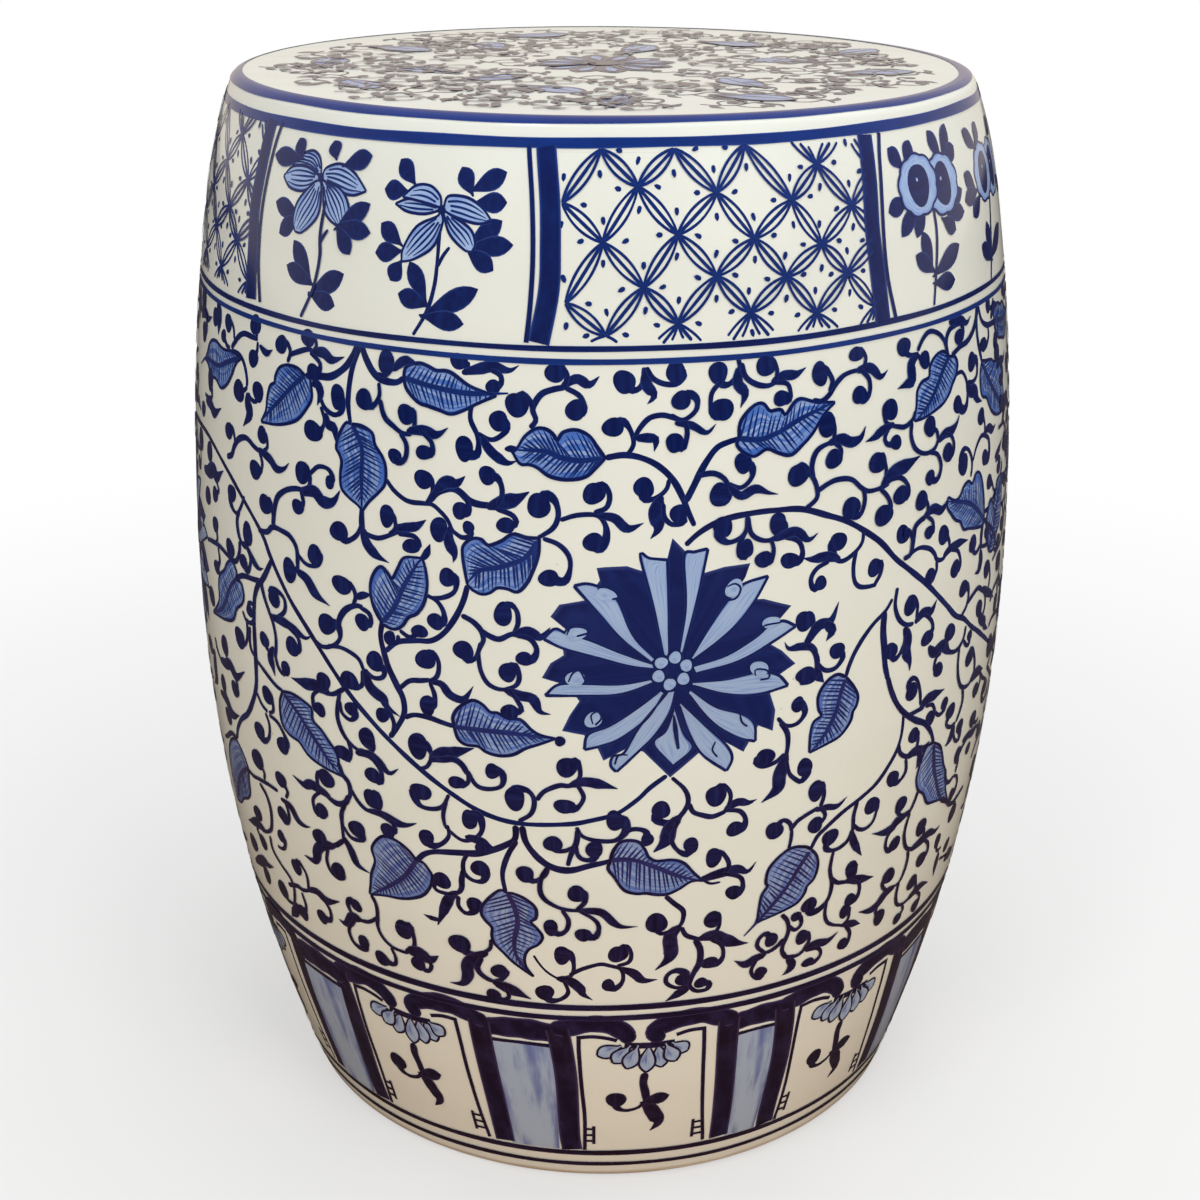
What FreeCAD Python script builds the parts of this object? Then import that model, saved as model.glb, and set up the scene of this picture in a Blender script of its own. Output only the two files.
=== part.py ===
import FreeCAD
import Part
import Sketcher
import math
import os

# Ceramic garden stool: a hollow drum of fired clay, built up from separate sections.
# A seat slab lies on the upper barrel section, which meets the lower one at the belly, and
# that stands on a foot ring. They are luted together with slip, and a roll of clay is
# pressed into the inside of each joint. Millimetres, +Z up, origin at the middle of the
# footprint. Each piece is a profile in the XZ plane turned once round the Z axis.

PARTS_FOLDER = "parts"
SHEET = "Sizes"
SAME_PLACE = 0.01  # millimetres within which two places count as one

# Driving dimensions in millimetres: alias, value, and what it measures
SIZES = (
    ("overall_height", 457.0, "floor to seat: a nominal 18 inch stool"),
    ("belly_radius", 181.3, "outside, at the widest point"),
    ("belly_height", 236.0, "widest point, where the two barrel sections meet"),
    ("lower_sweep", 765.0, "radius of the outside curve from the foot to the belly"),
    ("upper_sweep", 990.0, "radius of the outside curve from the belly to the shoulder"),
    ("shoulder_sweep", 220.0, "radius of the tighter outside curve of the shoulder"),
    ("shoulder_drop", 45.0, "from the seat down to where the shoulder's curve begins"),
    ("wall", 9.0, "thickness of the barrel wall"),
    ("seat_thickness", 11.0, "thickness of the seat slab"),
    ("seat_edge_round", 6.0, "rounding of the seat's edge"),
    ("foot_height", 14.0, "height of the foot ring"),
    ("foot_width", 24.0, "width of the face that the stool stands on"),
    ("foot_edge_bevel", 1.5, "bevel round the outside of the foot"),
    ("foot_opening_round", 3.0, "rounding of the foot ring's opening"),
    ("coil_reach", 9.0, "how far a pressed coil runs along the faces that it joins"),
    ("coil_cove", 14.0, "radius of the cove that a finger leaves along a coil"),
    ("coil_depth", 4.0, "how far the coil at the belly stands in from the wall"),
    ("coil_clearance", 0.1, "room between the curved wall and the back of a coil"),
)


class Arc:
    """One outside curve of the drum: centre and radius, as numbers and as expressions."""

    def __init__(self, x, z, radius, x_words, z_words, radius_words):
        self.x, self.z, self.radius = x, z, radius
        self.x_words, self.z_words, self.radius_words = x_words, z_words, radius_words

    def reach(self, height, inset=0.0):
        """Distance from the axis at a height, on this curve or on one that far inside it."""
        return self.x + math.sqrt((self.radius - inset) ** 2 - (height - self.z) ** 2)


class Drum:
    """The sizes, the heights of the joints and the three tangent curves of the outside."""

    def __init__(self, size):
        self.size = size
        self.seat_joint = size["overall_height"] - size["seat_thickness"]
        self.shoulder = size["overall_height"] - size["shoulder_drop"]
        rise = self.shoulder - size["belly_height"]
        ease = 1 - size["shoulder_sweep"] / size["upper_sweep"]
        run = math.sqrt(size["upper_sweep"] ** 2 - rise**2)
        lower_x = size["belly_radius"] - size["lower_sweep"]
        upper_x = size["belly_radius"] - size["upper_sweep"]
        rise_words = "(Sizes.overall_height - Sizes.shoulder_drop - Sizes.belly_height)"
        ease_words = "(1 - Sizes.shoulder_sweep / Sizes.upper_sweep)"
        run_words = f"sqrt(Sizes.upper_sweep ^ 2 - {rise_words} ^ 2)"
        upper_words = "Sizes.belly_radius - Sizes.upper_sweep"
        belly = "Sizes.belly_height"
        self.lower = Arc(
            lower_x,
            size["belly_height"],
            size["lower_sweep"],
            "Sizes.belly_radius - Sizes.lower_sweep",
            belly,
            "Sizes.lower_sweep",
        )
        self.upper = Arc(
            upper_x, size["belly_height"], size["upper_sweep"], upper_words, belly, "Sizes.upper_sweep"
        )
        self.rim = Arc(
            upper_x + ease * run,
            size["belly_height"] + ease * rise,
            size["shoulder_sweep"],
            f"{upper_words} + {ease_words} * {run_words}",
            f"{belly} + {ease_words} * {rise_words}",
            "Sizes.shoulder_sweep",
        )


class Profile:
    """A closed sketch in a body's XZ plane, drawn edge by edge and tied to the sheet."""

    def __init__(self, doc, name):
        self.doc = doc
        self.body = doc.addObject("PartDesign::Body", name)
        self.body.Label = name
        self.sketch = self.body.newObject("Sketcher::SketchObject", name + "_profile")
        planes = self.body.Origin.OriginFeatures
        upright = next(plane for plane in planes if plane.Role == "XZ_Plane")
        self.sketch.AttachmentSupport = [(upright, "")]
        self.sketch.MapMode = "FlatFace"
        self.edges = []

    def tie(self, kind, *where_and_value, to):
        """Adds a dimension whose value comes from the sheet."""
        index = self.sketch.addConstraint(Sketcher.Constraint(kind, *where_and_value))
        self.sketch.setExpression(f"Constraints[{index}]", to)

    def height(self, edge, end, value, to):
        """Ties the height of an edge's end (1, 2) or centre (3)."""
        self.tie("DistanceY", -1, 1, edge, end, value, to=to)

    def distance(self, edge, end, value, to):
        """Ties how far an edge's end or centre lies from the axis, outwards."""
        self.tie("DistanceX", -1, 1, edge, end, value, to=to)

    def line(self, start, end, lies):
        """A straight edge between two places, which lies Horizontal or Vertical."""
        segment = Part.LineSegment(FreeCAD.Vector(*start, 0), FreeCAD.Vector(*end, 0))
        index = self.sketch.addGeometry(segment, False)
        self.sketch.addConstraint(Sketcher.Constraint(lies, index))
        self.edges.append((index, 1, 2))
        return index

    def free_arc(self, start, end, radius, hollow):
        """A short arc from start to end. A hollow one bends away from the axis."""
        first, last = FreeCAD.Vector(*start, 0), FreeCAD.Vector(*end, 0)
        half = (last - first).Length / 2
        across = FreeCAD.Vector(first.y - last.y, last.x - first.x, 0).normalize()
        if (across.x > 0) != hollow:
            across = -across
        centre = (first + last) / 2 - across * math.sqrt(radius**2 - half**2)
        angles = [math.atan2(p.y - centre.y, p.x - centre.x) for p in (first, last)]
        forward = (angles[1] - angles[0]) % (2 * math.pi) < math.pi
        low, high = angles if forward else reversed(angles)
        circle = Part.Circle(centre, FreeCAD.Vector(0, 0, 1), radius)
        index = self.sketch.addGeometry(Part.ArcOfCircle(circle, low, high), False)
        self.edges.append((index, 1, 2) if forward else (index, 2, 1))
        return index

    def curve(self, arc, low, high, upwards, inset=0.0, inset_words="", centre_tied=True):
        """Part of one of the drum's curves between two heights, or of one set inside it."""
        radius = arc.radius - inset
        circle = Part.Circle(FreeCAD.Vector(arc.x, arc.z, 0), FreeCAD.Vector(0, 0, 1), radius)
        first = math.asin((low - arc.z) / radius)
        last = math.asin((high - arc.z) / radius)
        index = self.sketch.addGeometry(Part.ArcOfCircle(circle, first, last), False)
        self.tie("Radius", index, radius, to=arc.radius_words + inset_words)
        if centre_tied:
            self.distance(index, 3, arc.x, arc.x_words)
            self.height(index, 3, arc.z, arc.z_words)
        self.edges.append((index, 1, 2) if upwards else (index, 2, 1))
        return index

    def turn(self):
        """Closes the profile and turns it once round the Z axis."""
        followers = self.edges[1:] + self.edges[:1]
        joined = {(c.First, c.FirstPos) for c in self.sketch.Constraints if c.Type == "Tangent"}
        for (edge, _, end), (following, start, _) in zip(self.edges, followers):
            if (edge, end) not in joined:
                self.sketch.addConstraint(
                    Sketcher.Constraint("Coincident", edge, end, following, start)
                )
        turned = self.body.newObject("PartDesign::Revolution", self.body.Name + "_turned")
        turned.Profile = self.sketch
        turned.ReferenceAxis = (self.sketch, ["V_Axis"])
        turned.Angle = 360.0
        self.body.Tip = turned
        self.doc.recompute()
        return turned

    def dress(self, kind, name, base, rings, member, to):
        """Rounds or bevels the round edges at the given (distance from the axis, height)."""
        names = []
        for number, edge in enumerate(base.Shape.Edges, start=1):
            if not isinstance(edge.Curve, Part.Circle):
                continue
            ring = edge.Curve.Radius, edge.Curve.Center.z
            if any(math.dist(ring, wanted) < SAME_PLACE for wanted in rings):
                names.append(f"Edge{number}")
        if len(names) != len(rings):
            raise RuntimeError(f"{name}: {len(names)} of {len(rings)} edges were found")
        feature = self.body.newObject(kind, name)
        feature.Base = (base, names)
        feature.setExpression(member, to)
        self.body.Tip = feature
        self.doc.recompute()
        return feature


def add_sheet(doc):
    """The spreadsheet that holds every driving dimension under its alias."""
    sheet = doc.addObject("Spreadsheet::Sheet", SHEET)
    for row, (alias, value, meaning) in enumerate(SIZES, start=1):
        sheet.set(f"A{row}", alias)
        sheet.set(f"B{row}", str(value))
        sheet.set(f"C{row}", meaning)
        sheet.setAlias(f"B{row}", alias)
    doc.recompute()
    return {alias: value for alias, value, _ in SIZES}


def make_seat(doc, drum):
    """The slab that one sits on, its rim running on from the shoulder's curve."""
    top = drum.size["overall_height"]
    joint = drum.seat_joint
    rim_top = drum.rim.reach(top), top
    profile = Profile(doc, "seat")
    rim = profile.curve(drum.rim, joint, top, upwards=True)
    profile.line(rim_top, (0, top), "Horizontal")
    axis = profile.line((0, top), (0, joint), "Vertical")
    profile.line((0, joint), (drum.rim.reach(joint), joint), "Horizontal")
    profile.height(rim, 1, joint, "Sizes.overall_height - Sizes.seat_thickness")
    profile.height(rim, 2, top, "Sizes.overall_height")
    profile.sketch.addConstraint(Sketcher.Constraint("PointOnObject", axis, 1, -2))
    slab = profile.turn()
    profile.dress(
        "PartDesign::Fillet", "seat_edge", slab, [rim_top], "Radius", "Sizes.seat_edge_round"
    )
    return profile.body


def make_upper_barrel(doc, drum):
    """The wall from the belly up over the shoulder, on two tangent curves."""
    wall, belly, joint = drum.size["wall"], drum.size["belly_height"], drum.seat_joint
    inner_shoulder = drum.rim.z + (drum.shoulder - drum.rim.z) * (1 - wall / drum.rim.radius)
    profile = Profile(doc, "upper_barrel")
    outer = profile.curve(drum.upper, belly, drum.shoulder, upwards=True)
    outer_rim = profile.curve(drum.rim, drum.shoulder, joint, upwards=True, centre_tied=False)
    profile.line((drum.rim.reach(joint), joint), (drum.rim.reach(joint, wall), joint), "Horizontal")
    inside = {"upwards": False, "inset": wall, "inset_words": " - Sizes.wall"}
    inner_rim = profile.curve(drum.rim, inner_shoulder, joint, centre_tied=False, **inside)
    inner = profile.curve(drum.upper, belly, inner_shoulder, **inside)
    profile.line((drum.upper.reach(belly, wall), belly), (drum.upper.reach(belly), belly), "Horizontal")
    for below, above in ((outer, outer_rim), (inner, inner_rim)):
        ends = (below, 2, above, 1) if below == outer else (above, 1, below, 2)
        profile.sketch.addConstraint(Sketcher.Constraint("Tangent", *ends))
    profile.sketch.addConstraint(Sketcher.Constraint("Horizontal", outer_rim, 3, inner_rim, 3))
    profile.height(outer, 1, belly, "Sizes.belly_height")
    profile.height(outer, 2, drum.shoulder, "Sizes.overall_height - Sizes.shoulder_drop")
    profile.height(outer_rim, 2, joint, "Sizes.overall_height - Sizes.seat_thickness")
    profile.turn()
    return profile.body


def make_lower_barrel(doc, drum):
    """The wall from the foot ring up to the belly."""
    wall, low, high = drum.size["wall"], drum.size["foot_height"], drum.size["belly_height"]
    profile = Profile(doc, "lower_barrel")
    outer = profile.curve(drum.lower, low, high, upwards=True)
    profile.line((drum.lower.reach(high), high), (drum.lower.reach(high, wall), high), "Horizontal")
    profile.curve(drum.lower, low, high, upwards=False, inset=wall, inset_words=" - Sizes.wall")
    profile.line((drum.lower.reach(low, wall), low), (drum.lower.reach(low), low), "Horizontal")
    profile.height(outer, 1, low, "Sizes.foot_height")
    profile.height(outer, 2, high, "Sizes.belly_height")
    profile.turn()
    return profile.body


def make_foot_ring(doc, drum):
    """The flat ring that the stool stands on, turned in under the wall."""
    height = drum.size["foot_height"]
    edge = drum.lower.reach(0)
    opening = edge - drum.size["foot_width"]
    profile = Profile(doc, "foot_ring")
    outer = profile.curve(drum.lower, 0, height, upwards=True)
    profile.line((drum.lower.reach(height), height), (opening, height), "Horizontal")
    profile.line((opening, height), (opening, 0), "Vertical")
    face = profile.line((opening, 0), (edge, 0), "Horizontal")
    profile.height(outer, 2, height, "Sizes.foot_height")
    profile.sketch.addConstraint(Sketcher.Constraint("PointOnObject", outer, 1, -1))
    profile.tie("DistanceX", face, 1, face, 2, edge - opening, to="Sizes.foot_width")
    ring = profile.turn()
    bevelled = profile.dress(
        "PartDesign::Chamfer", "foot_edge", ring, [(edge, 0)], "Size", "Sizes.foot_edge_bevel"
    )
    profile.dress(
        "PartDesign::Fillet",
        "foot_opening",
        bevelled,
        [(opening, 0), (opening, height)],
        "Radius",
        "Sizes.foot_opening_round",
    )
    return profile.body


def make_corner_coil(doc, name, drum, arc, joint, joint_words, side):
    """A roll pressed into the corner of the wall's inside and a flat face, coved by a finger.

    Side is 1 where the roll stands on the face and -1 where it hangs under it.
    """
    reach, cove = drum.size["coil_reach"], drum.size["coil_cove"]
    inset = drum.size["wall"] + drum.size["coil_clearance"]
    inset_words = " - Sizes.wall - Sizes.coil_clearance"
    far = joint + side * reach
    low, high = sorted((joint, far))
    profile = Profile(doc, name)
    corner = arc.reach(joint, inset), joint
    toe = corner[0] - reach, joint
    face = profile.line(toe, corner, "Horizontal")
    back = profile.curve(
        arc, low, high, upwards=side > 0, inset=inset, inset_words=inset_words
    )
    cove_arc = profile.free_arc((arc.reach(far, inset), far), toe, cove, hollow=True)
    near_end, far_end = (1, 2) if side > 0 else (2, 1)
    sign = "+" if side > 0 else "-"
    profile.height(back, near_end, joint, joint_words)
    profile.height(back, far_end, far, f"{joint_words} {sign} Sizes.coil_reach")
    profile.tie("DistanceX", face, 1, face, 2, reach, to="Sizes.coil_reach")
    profile.tie("Radius", cove_arc, cove, to="Sizes.coil_cove")
    profile.turn()
    return profile.body


def make_waist_coil(doc, drum):
    """A roll pressed flat over the inside of the joint at the belly."""
    reach, depth, belly = (drum.size[k] for k in ("coil_reach", "coil_depth", "belly_height"))
    face = drum.size["belly_radius"] - drum.size["wall"] - drum.size["coil_clearance"]
    low, high = (face, belly - reach), (face, belly + reach)
    profile = Profile(doc, "waist_seam_coil")
    back = profile.line(low, high, "Vertical")
    radius = (reach**2 + depth**2) / (2 * depth)
    front = profile.free_arc(high, low, radius, hollow=False)
    profile.distance(
        back, 1, face, "Sizes.belly_radius - Sizes.wall - Sizes.coil_clearance"
    )
    profile.height(back, 1, low[1], "Sizes.belly_height - Sizes.coil_reach")
    profile.height(back, 2, high[1], "Sizes.belly_height + Sizes.coil_reach")
    profile.tie(
        "Radius",
        front,
        radius,
        to="(Sizes.coil_reach ^ 2 + Sizes.coil_depth ^ 2) / (2 * Sizes.coil_depth)",
    )
    profile.turn()
    return profile.body


def build(doc):
    """Makes every piece of the stool and returns their bodies."""
    drum = Drum(add_sheet(doc))
    return [
        make_seat(doc, drum),
        make_upper_barrel(doc, drum),
        make_lower_barrel(doc, drum),
        make_foot_ring(doc, drum),
        make_corner_coil(
            doc,
            "seat_seam_coil",
            drum,
            drum.rim,
            drum.seat_joint,
            "Sizes.overall_height - Sizes.seat_thickness",
            side=-1,
        ),
        make_waist_coil(doc, drum),
        make_corner_coil(
            doc,
            "foot_seam_coil",
            drum,
            drum.lower,
            drum.size["foot_height"],
            "Sizes.foot_height",
            side=1,
        ),
    ]


def check(doc, bodies):
    """Stops if any object failed or any piece isn't one sound solid."""
    for thing in doc.Objects:
        faults = {"Invalid", "Error"} & set(thing.State)
        if faults:
            raise RuntimeError(f"{thing.Label} is {sorted(faults)}")
    for body in bodies:
        sketch = body.getObject(body.Name + "_profile")
        if sketch.solve() != 0:
            raise RuntimeError(f"{sketch.Label} doesn't solve")
        shape = body.Shape
        if shape.isNull() or not shape.isValid() or len(shape.Solids) != 1:
            raise RuntimeError(f"{body.Label} isn't one sound solid")


def main():
    doc = FreeCAD.newDocument("garden_stool")
    bodies = build(doc)
    doc.recompute()
    check(doc, bodies)
    os.makedirs(PARTS_FOLDER, exist_ok=True)
    for body in bodies:
        box = body.Shape.BoundBox
        body.Shape.exportStep(f"{PARTS_FOLDER}/{body.Label}.step")
        print(f"{body.Label}: {body.Shape.Volume / 1000:.1f} cm3, z {box.ZMin:.2f} to {box.ZMax:.2f}")


main()
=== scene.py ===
"""A blue-and-white drum stool of glazed stoneware, dressed for its picture.

Sizes are in millimetres until a mesh is made, and then in metres. A place on the drum is given as
the painter sees it: an angle in degrees round the drum, 0 at the front and growing to the right, and
a climb in millimetres along the outside, which is the height above the floor up to the seat's edge
and then runs on over the round edge and in across the seat.
"""
import math

import bpy
import numpy as np
from mathutils import Matrix, Vector


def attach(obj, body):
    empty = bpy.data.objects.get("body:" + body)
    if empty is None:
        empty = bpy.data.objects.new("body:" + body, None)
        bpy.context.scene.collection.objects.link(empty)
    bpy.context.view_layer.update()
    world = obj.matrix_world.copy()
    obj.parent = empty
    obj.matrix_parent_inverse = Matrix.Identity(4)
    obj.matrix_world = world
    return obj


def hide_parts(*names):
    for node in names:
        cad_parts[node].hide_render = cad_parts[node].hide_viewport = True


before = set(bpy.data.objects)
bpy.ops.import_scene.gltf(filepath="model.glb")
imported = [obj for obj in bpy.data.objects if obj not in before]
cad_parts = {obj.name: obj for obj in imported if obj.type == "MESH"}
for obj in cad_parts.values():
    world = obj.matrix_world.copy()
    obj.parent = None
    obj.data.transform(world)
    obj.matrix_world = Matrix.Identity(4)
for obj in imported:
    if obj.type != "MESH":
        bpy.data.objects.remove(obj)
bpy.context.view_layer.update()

MM = 0.001
RNG = np.random.default_rng(18)

# The drum's outside, bottom to top: two long barrel sweeps, a tighter shoulder and a rounded edge.
SEAT_HEIGHT = 457.0
BELLY_RADIUS, BELLY_HEIGHT = 181.3, 236.0
LOWER_SWEEP, UPPER_SWEEP, SHOULDER_SWEEP = 765.0, 990.0, 220.0
SHOULDER_DROP = 45.0
EDGE_ROUND = 6.0
WALL = 9.0
SEAT_JOINT, FOOT_JOINT = 446.0, 14.0
FOOT_BORE, FOOT_BEVEL, FOOT_BORE_ROUND = 120.0, 1.5, 3.0

LOWER_CENTRE = BELLY_RADIUS - LOWER_SWEEP
UPPER_CENTRE = BELLY_RADIUS - UPPER_SWEEP
SHOULDER_START = SEAT_HEIGHT - SHOULDER_DROP
SHOULDER_SHARE = 1 - SHOULDER_SWEEP / UPPER_SWEEP
SHOULDER_RISE = SHOULDER_START - BELLY_HEIGHT
SHOULDER_X = UPPER_CENTRE + SHOULDER_SHARE * math.sqrt(UPPER_SWEEP ** 2 - SHOULDER_RISE ** 2)
SHOULDER_Z = BELLY_HEIGHT + SHOULDER_SHARE * SHOULDER_RISE
EDGE_Z = SEAT_HEIGHT - EDGE_ROUND
EDGE_REACH = SHOULDER_SWEEP - EDGE_ROUND
EDGE_X = SHOULDER_X + math.sqrt(EDGE_REACH ** 2 - (EDGE_Z - SHOULDER_Z) ** 2)
EDGE_TILT = math.atan2(EDGE_Z - SHOULDER_Z, EDGE_X - SHOULDER_X)
EDGE_START = SHOULDER_Z + SHOULDER_SWEEP * math.sin(EDGE_TILT)
EDGE_END = EDGE_START + EDGE_ROUND * (math.pi / 2 - EDGE_TILT)
SEAT_CENTRE = EDGE_END + EDGE_X


def sweep_radius(height, inset=0.0):
    """Radius of the drum at a height, `inset` mm inside its skin: each sweep is a circle's arc, so
    the radius is the arc's centre plus the root of its radius squared less the height off it squared.
    """
    lower = LOWER_CENTRE + np.sqrt((LOWER_SWEEP - inset) ** 2 - (height - BELLY_HEIGHT) ** 2)
    upper = UPPER_CENTRE + np.sqrt((UPPER_SWEEP - inset) ** 2 - (height - BELLY_HEIGHT) ** 2)
    off = np.clip(height - SHOULDER_Z, -SHOULDER_SWEEP / 2, SHOULDER_SWEEP / 2)
    shoulder = SHOULDER_X + np.sqrt((SHOULDER_SWEEP - inset) ** 2 - off ** 2)
    return np.where(height < BELLY_HEIGHT, lower, np.where(height < SHOULDER_START, upper, shoulder))


def skin_profile(climb):
    """Radius, height and the tilt of the skin's normal above level, for a climb along the outside.

    Up to the edge the climb is the height itself. Over the edge it is the arc's length, so the angle
    is the climb past the start over the edge's radius. Past the edge the seat is flat.
    """
    climb = np.asarray(climb, float)
    height = np.minimum(climb, EDGE_START)
    radius = sweep_radius(height)
    step = 0.05
    tilt = -np.arctan((sweep_radius(height + step) - sweep_radius(height - step)) / (2 * step))
    turn = np.clip((climb - EDGE_START) / EDGE_ROUND, 0, math.pi / 2 - EDGE_TILT) + EDGE_TILT
    on_edge = climb > EDGE_START
    radius = np.where(on_edge, EDGE_X + EDGE_ROUND * np.cos(turn), radius)
    height = np.where(on_edge, EDGE_Z + EDGE_ROUND * np.sin(turn), height)
    tilt = np.where(on_edge, turn, tilt)
    on_seat = climb > EDGE_END
    radius = np.where(on_seat, SEAT_CENTRE - climb, radius)
    return radius, height, np.where(on_seat, math.pi / 2, tilt)


def hand_wobble(angle, height):
    """Millimetres by which the hand-pressed wall strays from a true circle: three slow waves round
    the drum that change phase up it, and a faint ripple of throwing rings."""
    turn = np.radians(angle)
    waves = 0.22 * np.sin(2 * turn + 0.7 + height / 160) + 0.14 * np.sin(3 * turn - height / 90)
    waves = waves + 0.07 * np.sin(7 * turn + height / 35)
    return waves + 0.035 * np.sin(height / 4.3 + 1.5 * np.sin(turn))


def on_drum(angle, climb, lift=0.0):
    """Point and normal of the skin in metres: the profile turned round the axis by the angle, moved
    out along its normal by the wobble and the lift."""
    angle, climb, lift = np.broadcast_arrays(np.asarray(angle, float), climb, lift)
    radius, height, tilt = skin_profile(climb)
    stray = hand_wobble(angle, height) * np.cos(tilt) + lift
    radius = radius + stray * np.cos(tilt)
    height = height + stray * np.sin(tilt)
    turn = np.radians(angle)
    place = np.stack([radius * np.sin(turn), -radius * np.cos(turn), height], -1) * MM
    level = np.cos(tilt)
    normal = np.stack([level * np.sin(turn), -level * np.cos(turn), np.sin(tilt)], -1)
    return place, normal


def on_seat(x, y, lift=0.0):
    """Point and normal of the flat seat top in metres, for a place in millimetres from its centre."""
    x, y, lift = np.broadcast_arrays(np.asarray(x, float), y, lift)
    place = np.stack([x, y, SEAT_HEIGHT + lift], -1) * MM
    return place, np.broadcast_to([0.0, 0.0, 1.0], place.shape)


# Meshes

STROKE_MAP = "OFBake"


def new_piece(name, points, faces, uv=None, normals=None, materials=(), face_slots=None, sharp=None):
    """A mesh object from arrays: faces are rows of vertex numbers, with the last one repeated where
    a face is a triangle; uv has one pair per vertex."""
    mesh = bpy.data.meshes.new(name)
    faces = np.asarray(faces)
    counts = np.where(faces[:, 2] == faces[:, 3], 3, 4)
    corners = faces[np.arange(4) < counts[:, None]]
    mesh.vertices.add(len(points))
    mesh.vertices.foreach_set("co", np.asarray(points, np.float32).ravel())
    mesh.loops.add(len(corners))
    mesh.loops.foreach_set("vertex_index", corners.astype(np.int32))
    mesh.polygons.add(len(faces))
    starts = np.concatenate([[0], np.cumsum(counts)[:-1]])
    mesh.polygons.foreach_set("loop_start", starts.astype(np.int32))
    if uv is not None:
        layer = mesh.uv_layers.new(name=STROKE_MAP)
        layer.data.foreach_set("uv", np.asarray(uv, np.float32)[corners].ravel())
    for material in materials:
        mesh.materials.append(material)
    if face_slots is not None:
        mesh.polygons.foreach_set("material_index", np.asarray(face_slots, np.int32))
    mesh.polygons.foreach_set("use_smooth", np.ones(len(faces), bool))
    mesh.update(calc_edges=True)
    mesh.validate()
    if sharp is not None:
        mesh.set_sharp_from_angle(angle=math.radians(sharp))
    if normals is not None:
        mesh.normals_split_custom_set_from_vertices(np.asarray(normals, float).tolist())
    piece = bpy.data.objects.new(name, mesh)
    bpy.context.scene.collection.objects.link(piece)
    return piece


def grid_faces(rows, columns, first=0, close_rows=False, close_columns=False):
    """Quads of a grid of points numbered row by row; closing joins the last row or column to the
    first."""
    row = np.arange(rows if close_rows else rows - 1)
    column = np.arange(columns if close_columns else columns - 1)
    row, column = np.meshgrid(row, column, indexing="ij")
    below, beside = (row + 1) % rows, (column + 1) % columns
    corners = ((row, column), (row, beside), (below, beside), (below, column))
    return first + np.stack([up * columns + along for up, along in corners], -1).reshape(-1, 4)


def fan_faces(rings, count):
    """Faces of a round patch: a fan of triangles from the first point to the first ring of points,
    and bands of quads from ring to ring."""
    column = np.arange(count)
    beside = (column + 1) % count
    fan = np.stack([np.zeros(count, int), column + 1, beside + 1, beside + 1], -1)
    return np.concatenate([fan, grid_faces(rings, count, first=1, close_columns=True)[:, ::-1]])


# Shader maths

class Shade:
    """A socket of a material under construction, on which + - * / build Math nodes."""

    def __init__(self, tree, socket):
        self.tree, self.socket = tree, socket

    def _join(self, operation, *values):
        return node(self.tree, "ShaderNodeMath", {"operation": operation}, dict(enumerate(values)))

    def __add__(self, other):
        return self._join("ADD", self, other)

    def __radd__(self, other):
        return self._join("ADD", other, self)

    def __sub__(self, other):
        return self._join("SUBTRACT", self, other)

    def __rsub__(self, other):
        return self._join("SUBTRACT", other, self)

    def __mul__(self, other):
        return self._join("MULTIPLY", self, other)

    def __rmul__(self, other):
        return self._join("MULTIPLY", other, self)

    def over(self, low, high, start=0.0, end=1.0):
        """A smooth step of this value from `start` at `low` to `end` at `high`."""
        settings = {"interpolation_type": "SMOOTHSTEP"}
        ends = {"From Min": low, "From Max": high, "To Min": start, "To Max": end}
        return node(self.tree, "ShaderNodeMapRange", settings, {"Value": self, **ends})

    def clamp(self):
        return node(self.tree, "ShaderNodeClamp", {}, {"Value": self})

    def size(self):
        return self._join("ABSOLUTE", self)


def node(tree, kind, settings, inputs, output=0):
    """One node: its settings are set first, then its sockets get values or links."""
    made = tree.nodes.new(kind)
    for name, value in settings.items():
        if name == "stops":
            lay_stops(made.color_ramp, value)
        else:
            setattr(made, name, value)
    for name, value in inputs.items():
        if isinstance(value, Shade):
            tree.links.new(value.socket, made.inputs[name])
        else:
            made.inputs[name].default_value = value
    return Shade(tree, made.outputs[output])


def lay_stops(ramp, stops):
    while len(ramp.elements) > 1:
        ramp.elements.remove(ramp.elements[-1])
    ramp.elements[0].position, ramp.elements[0].color = stops[0][0], (*stops[0][1], 1)
    for place, colour in stops[1:]:
        ramp.elements.new(place).color = (*colour, 1)


def blend_colours(tree, share, first, second):
    """Colour that goes from the first to the second as the share goes from 0 to 1."""
    first = first if isinstance(first, Shade) else (*first, 1)
    second = second if isinstance(second, Shade) else (*second, 1)
    inputs = {"Factor": share, 6: first, 7: second}
    return node(tree, "ShaderNodeMix", {"data_type": "RGBA"}, inputs, output=2)


def noise(tree, place, scale, detail=2.0, roughness=0.5):
    inputs = {"Vector": place, "Scale": scale, "Detail": detail, "Roughness": roughness}
    return node(tree, "ShaderNodeTexNoise", {}, inputs)


def object_place(tree):
    return node(tree, "ShaderNodeTexCoord", {}, {}, output=3)


def part_of(tree, vector, axis):
    """One number of a vector: 0, 1 and 2 are x, y and z."""
    return node(tree, "ShaderNodeSeparateXYZ", {}, {"Vector": vector}, output=axis)


def ramp(tree, stops, share):
    return node(tree, "ShaderNodeValToRGB", {"stops": stops}, {"Fac": share})


def start_material(name):
    material = bpy.data.materials.new(name)
    material.use_nodes = True
    tree = material.node_tree
    return material, tree, tree.nodes["Principled BSDF"]


def feed(tree, shader, **inputs):
    for name, value in inputs.items():
        tree.links.new(value.socket, shader.inputs[name.replace("_", " ")])


def bump(tree, height, distance, strength=1.0):
    inputs = {"Height": height, "Distance": distance, "Strength": strength}
    return node(tree, "ShaderNodeBump", {}, inputs)


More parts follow.
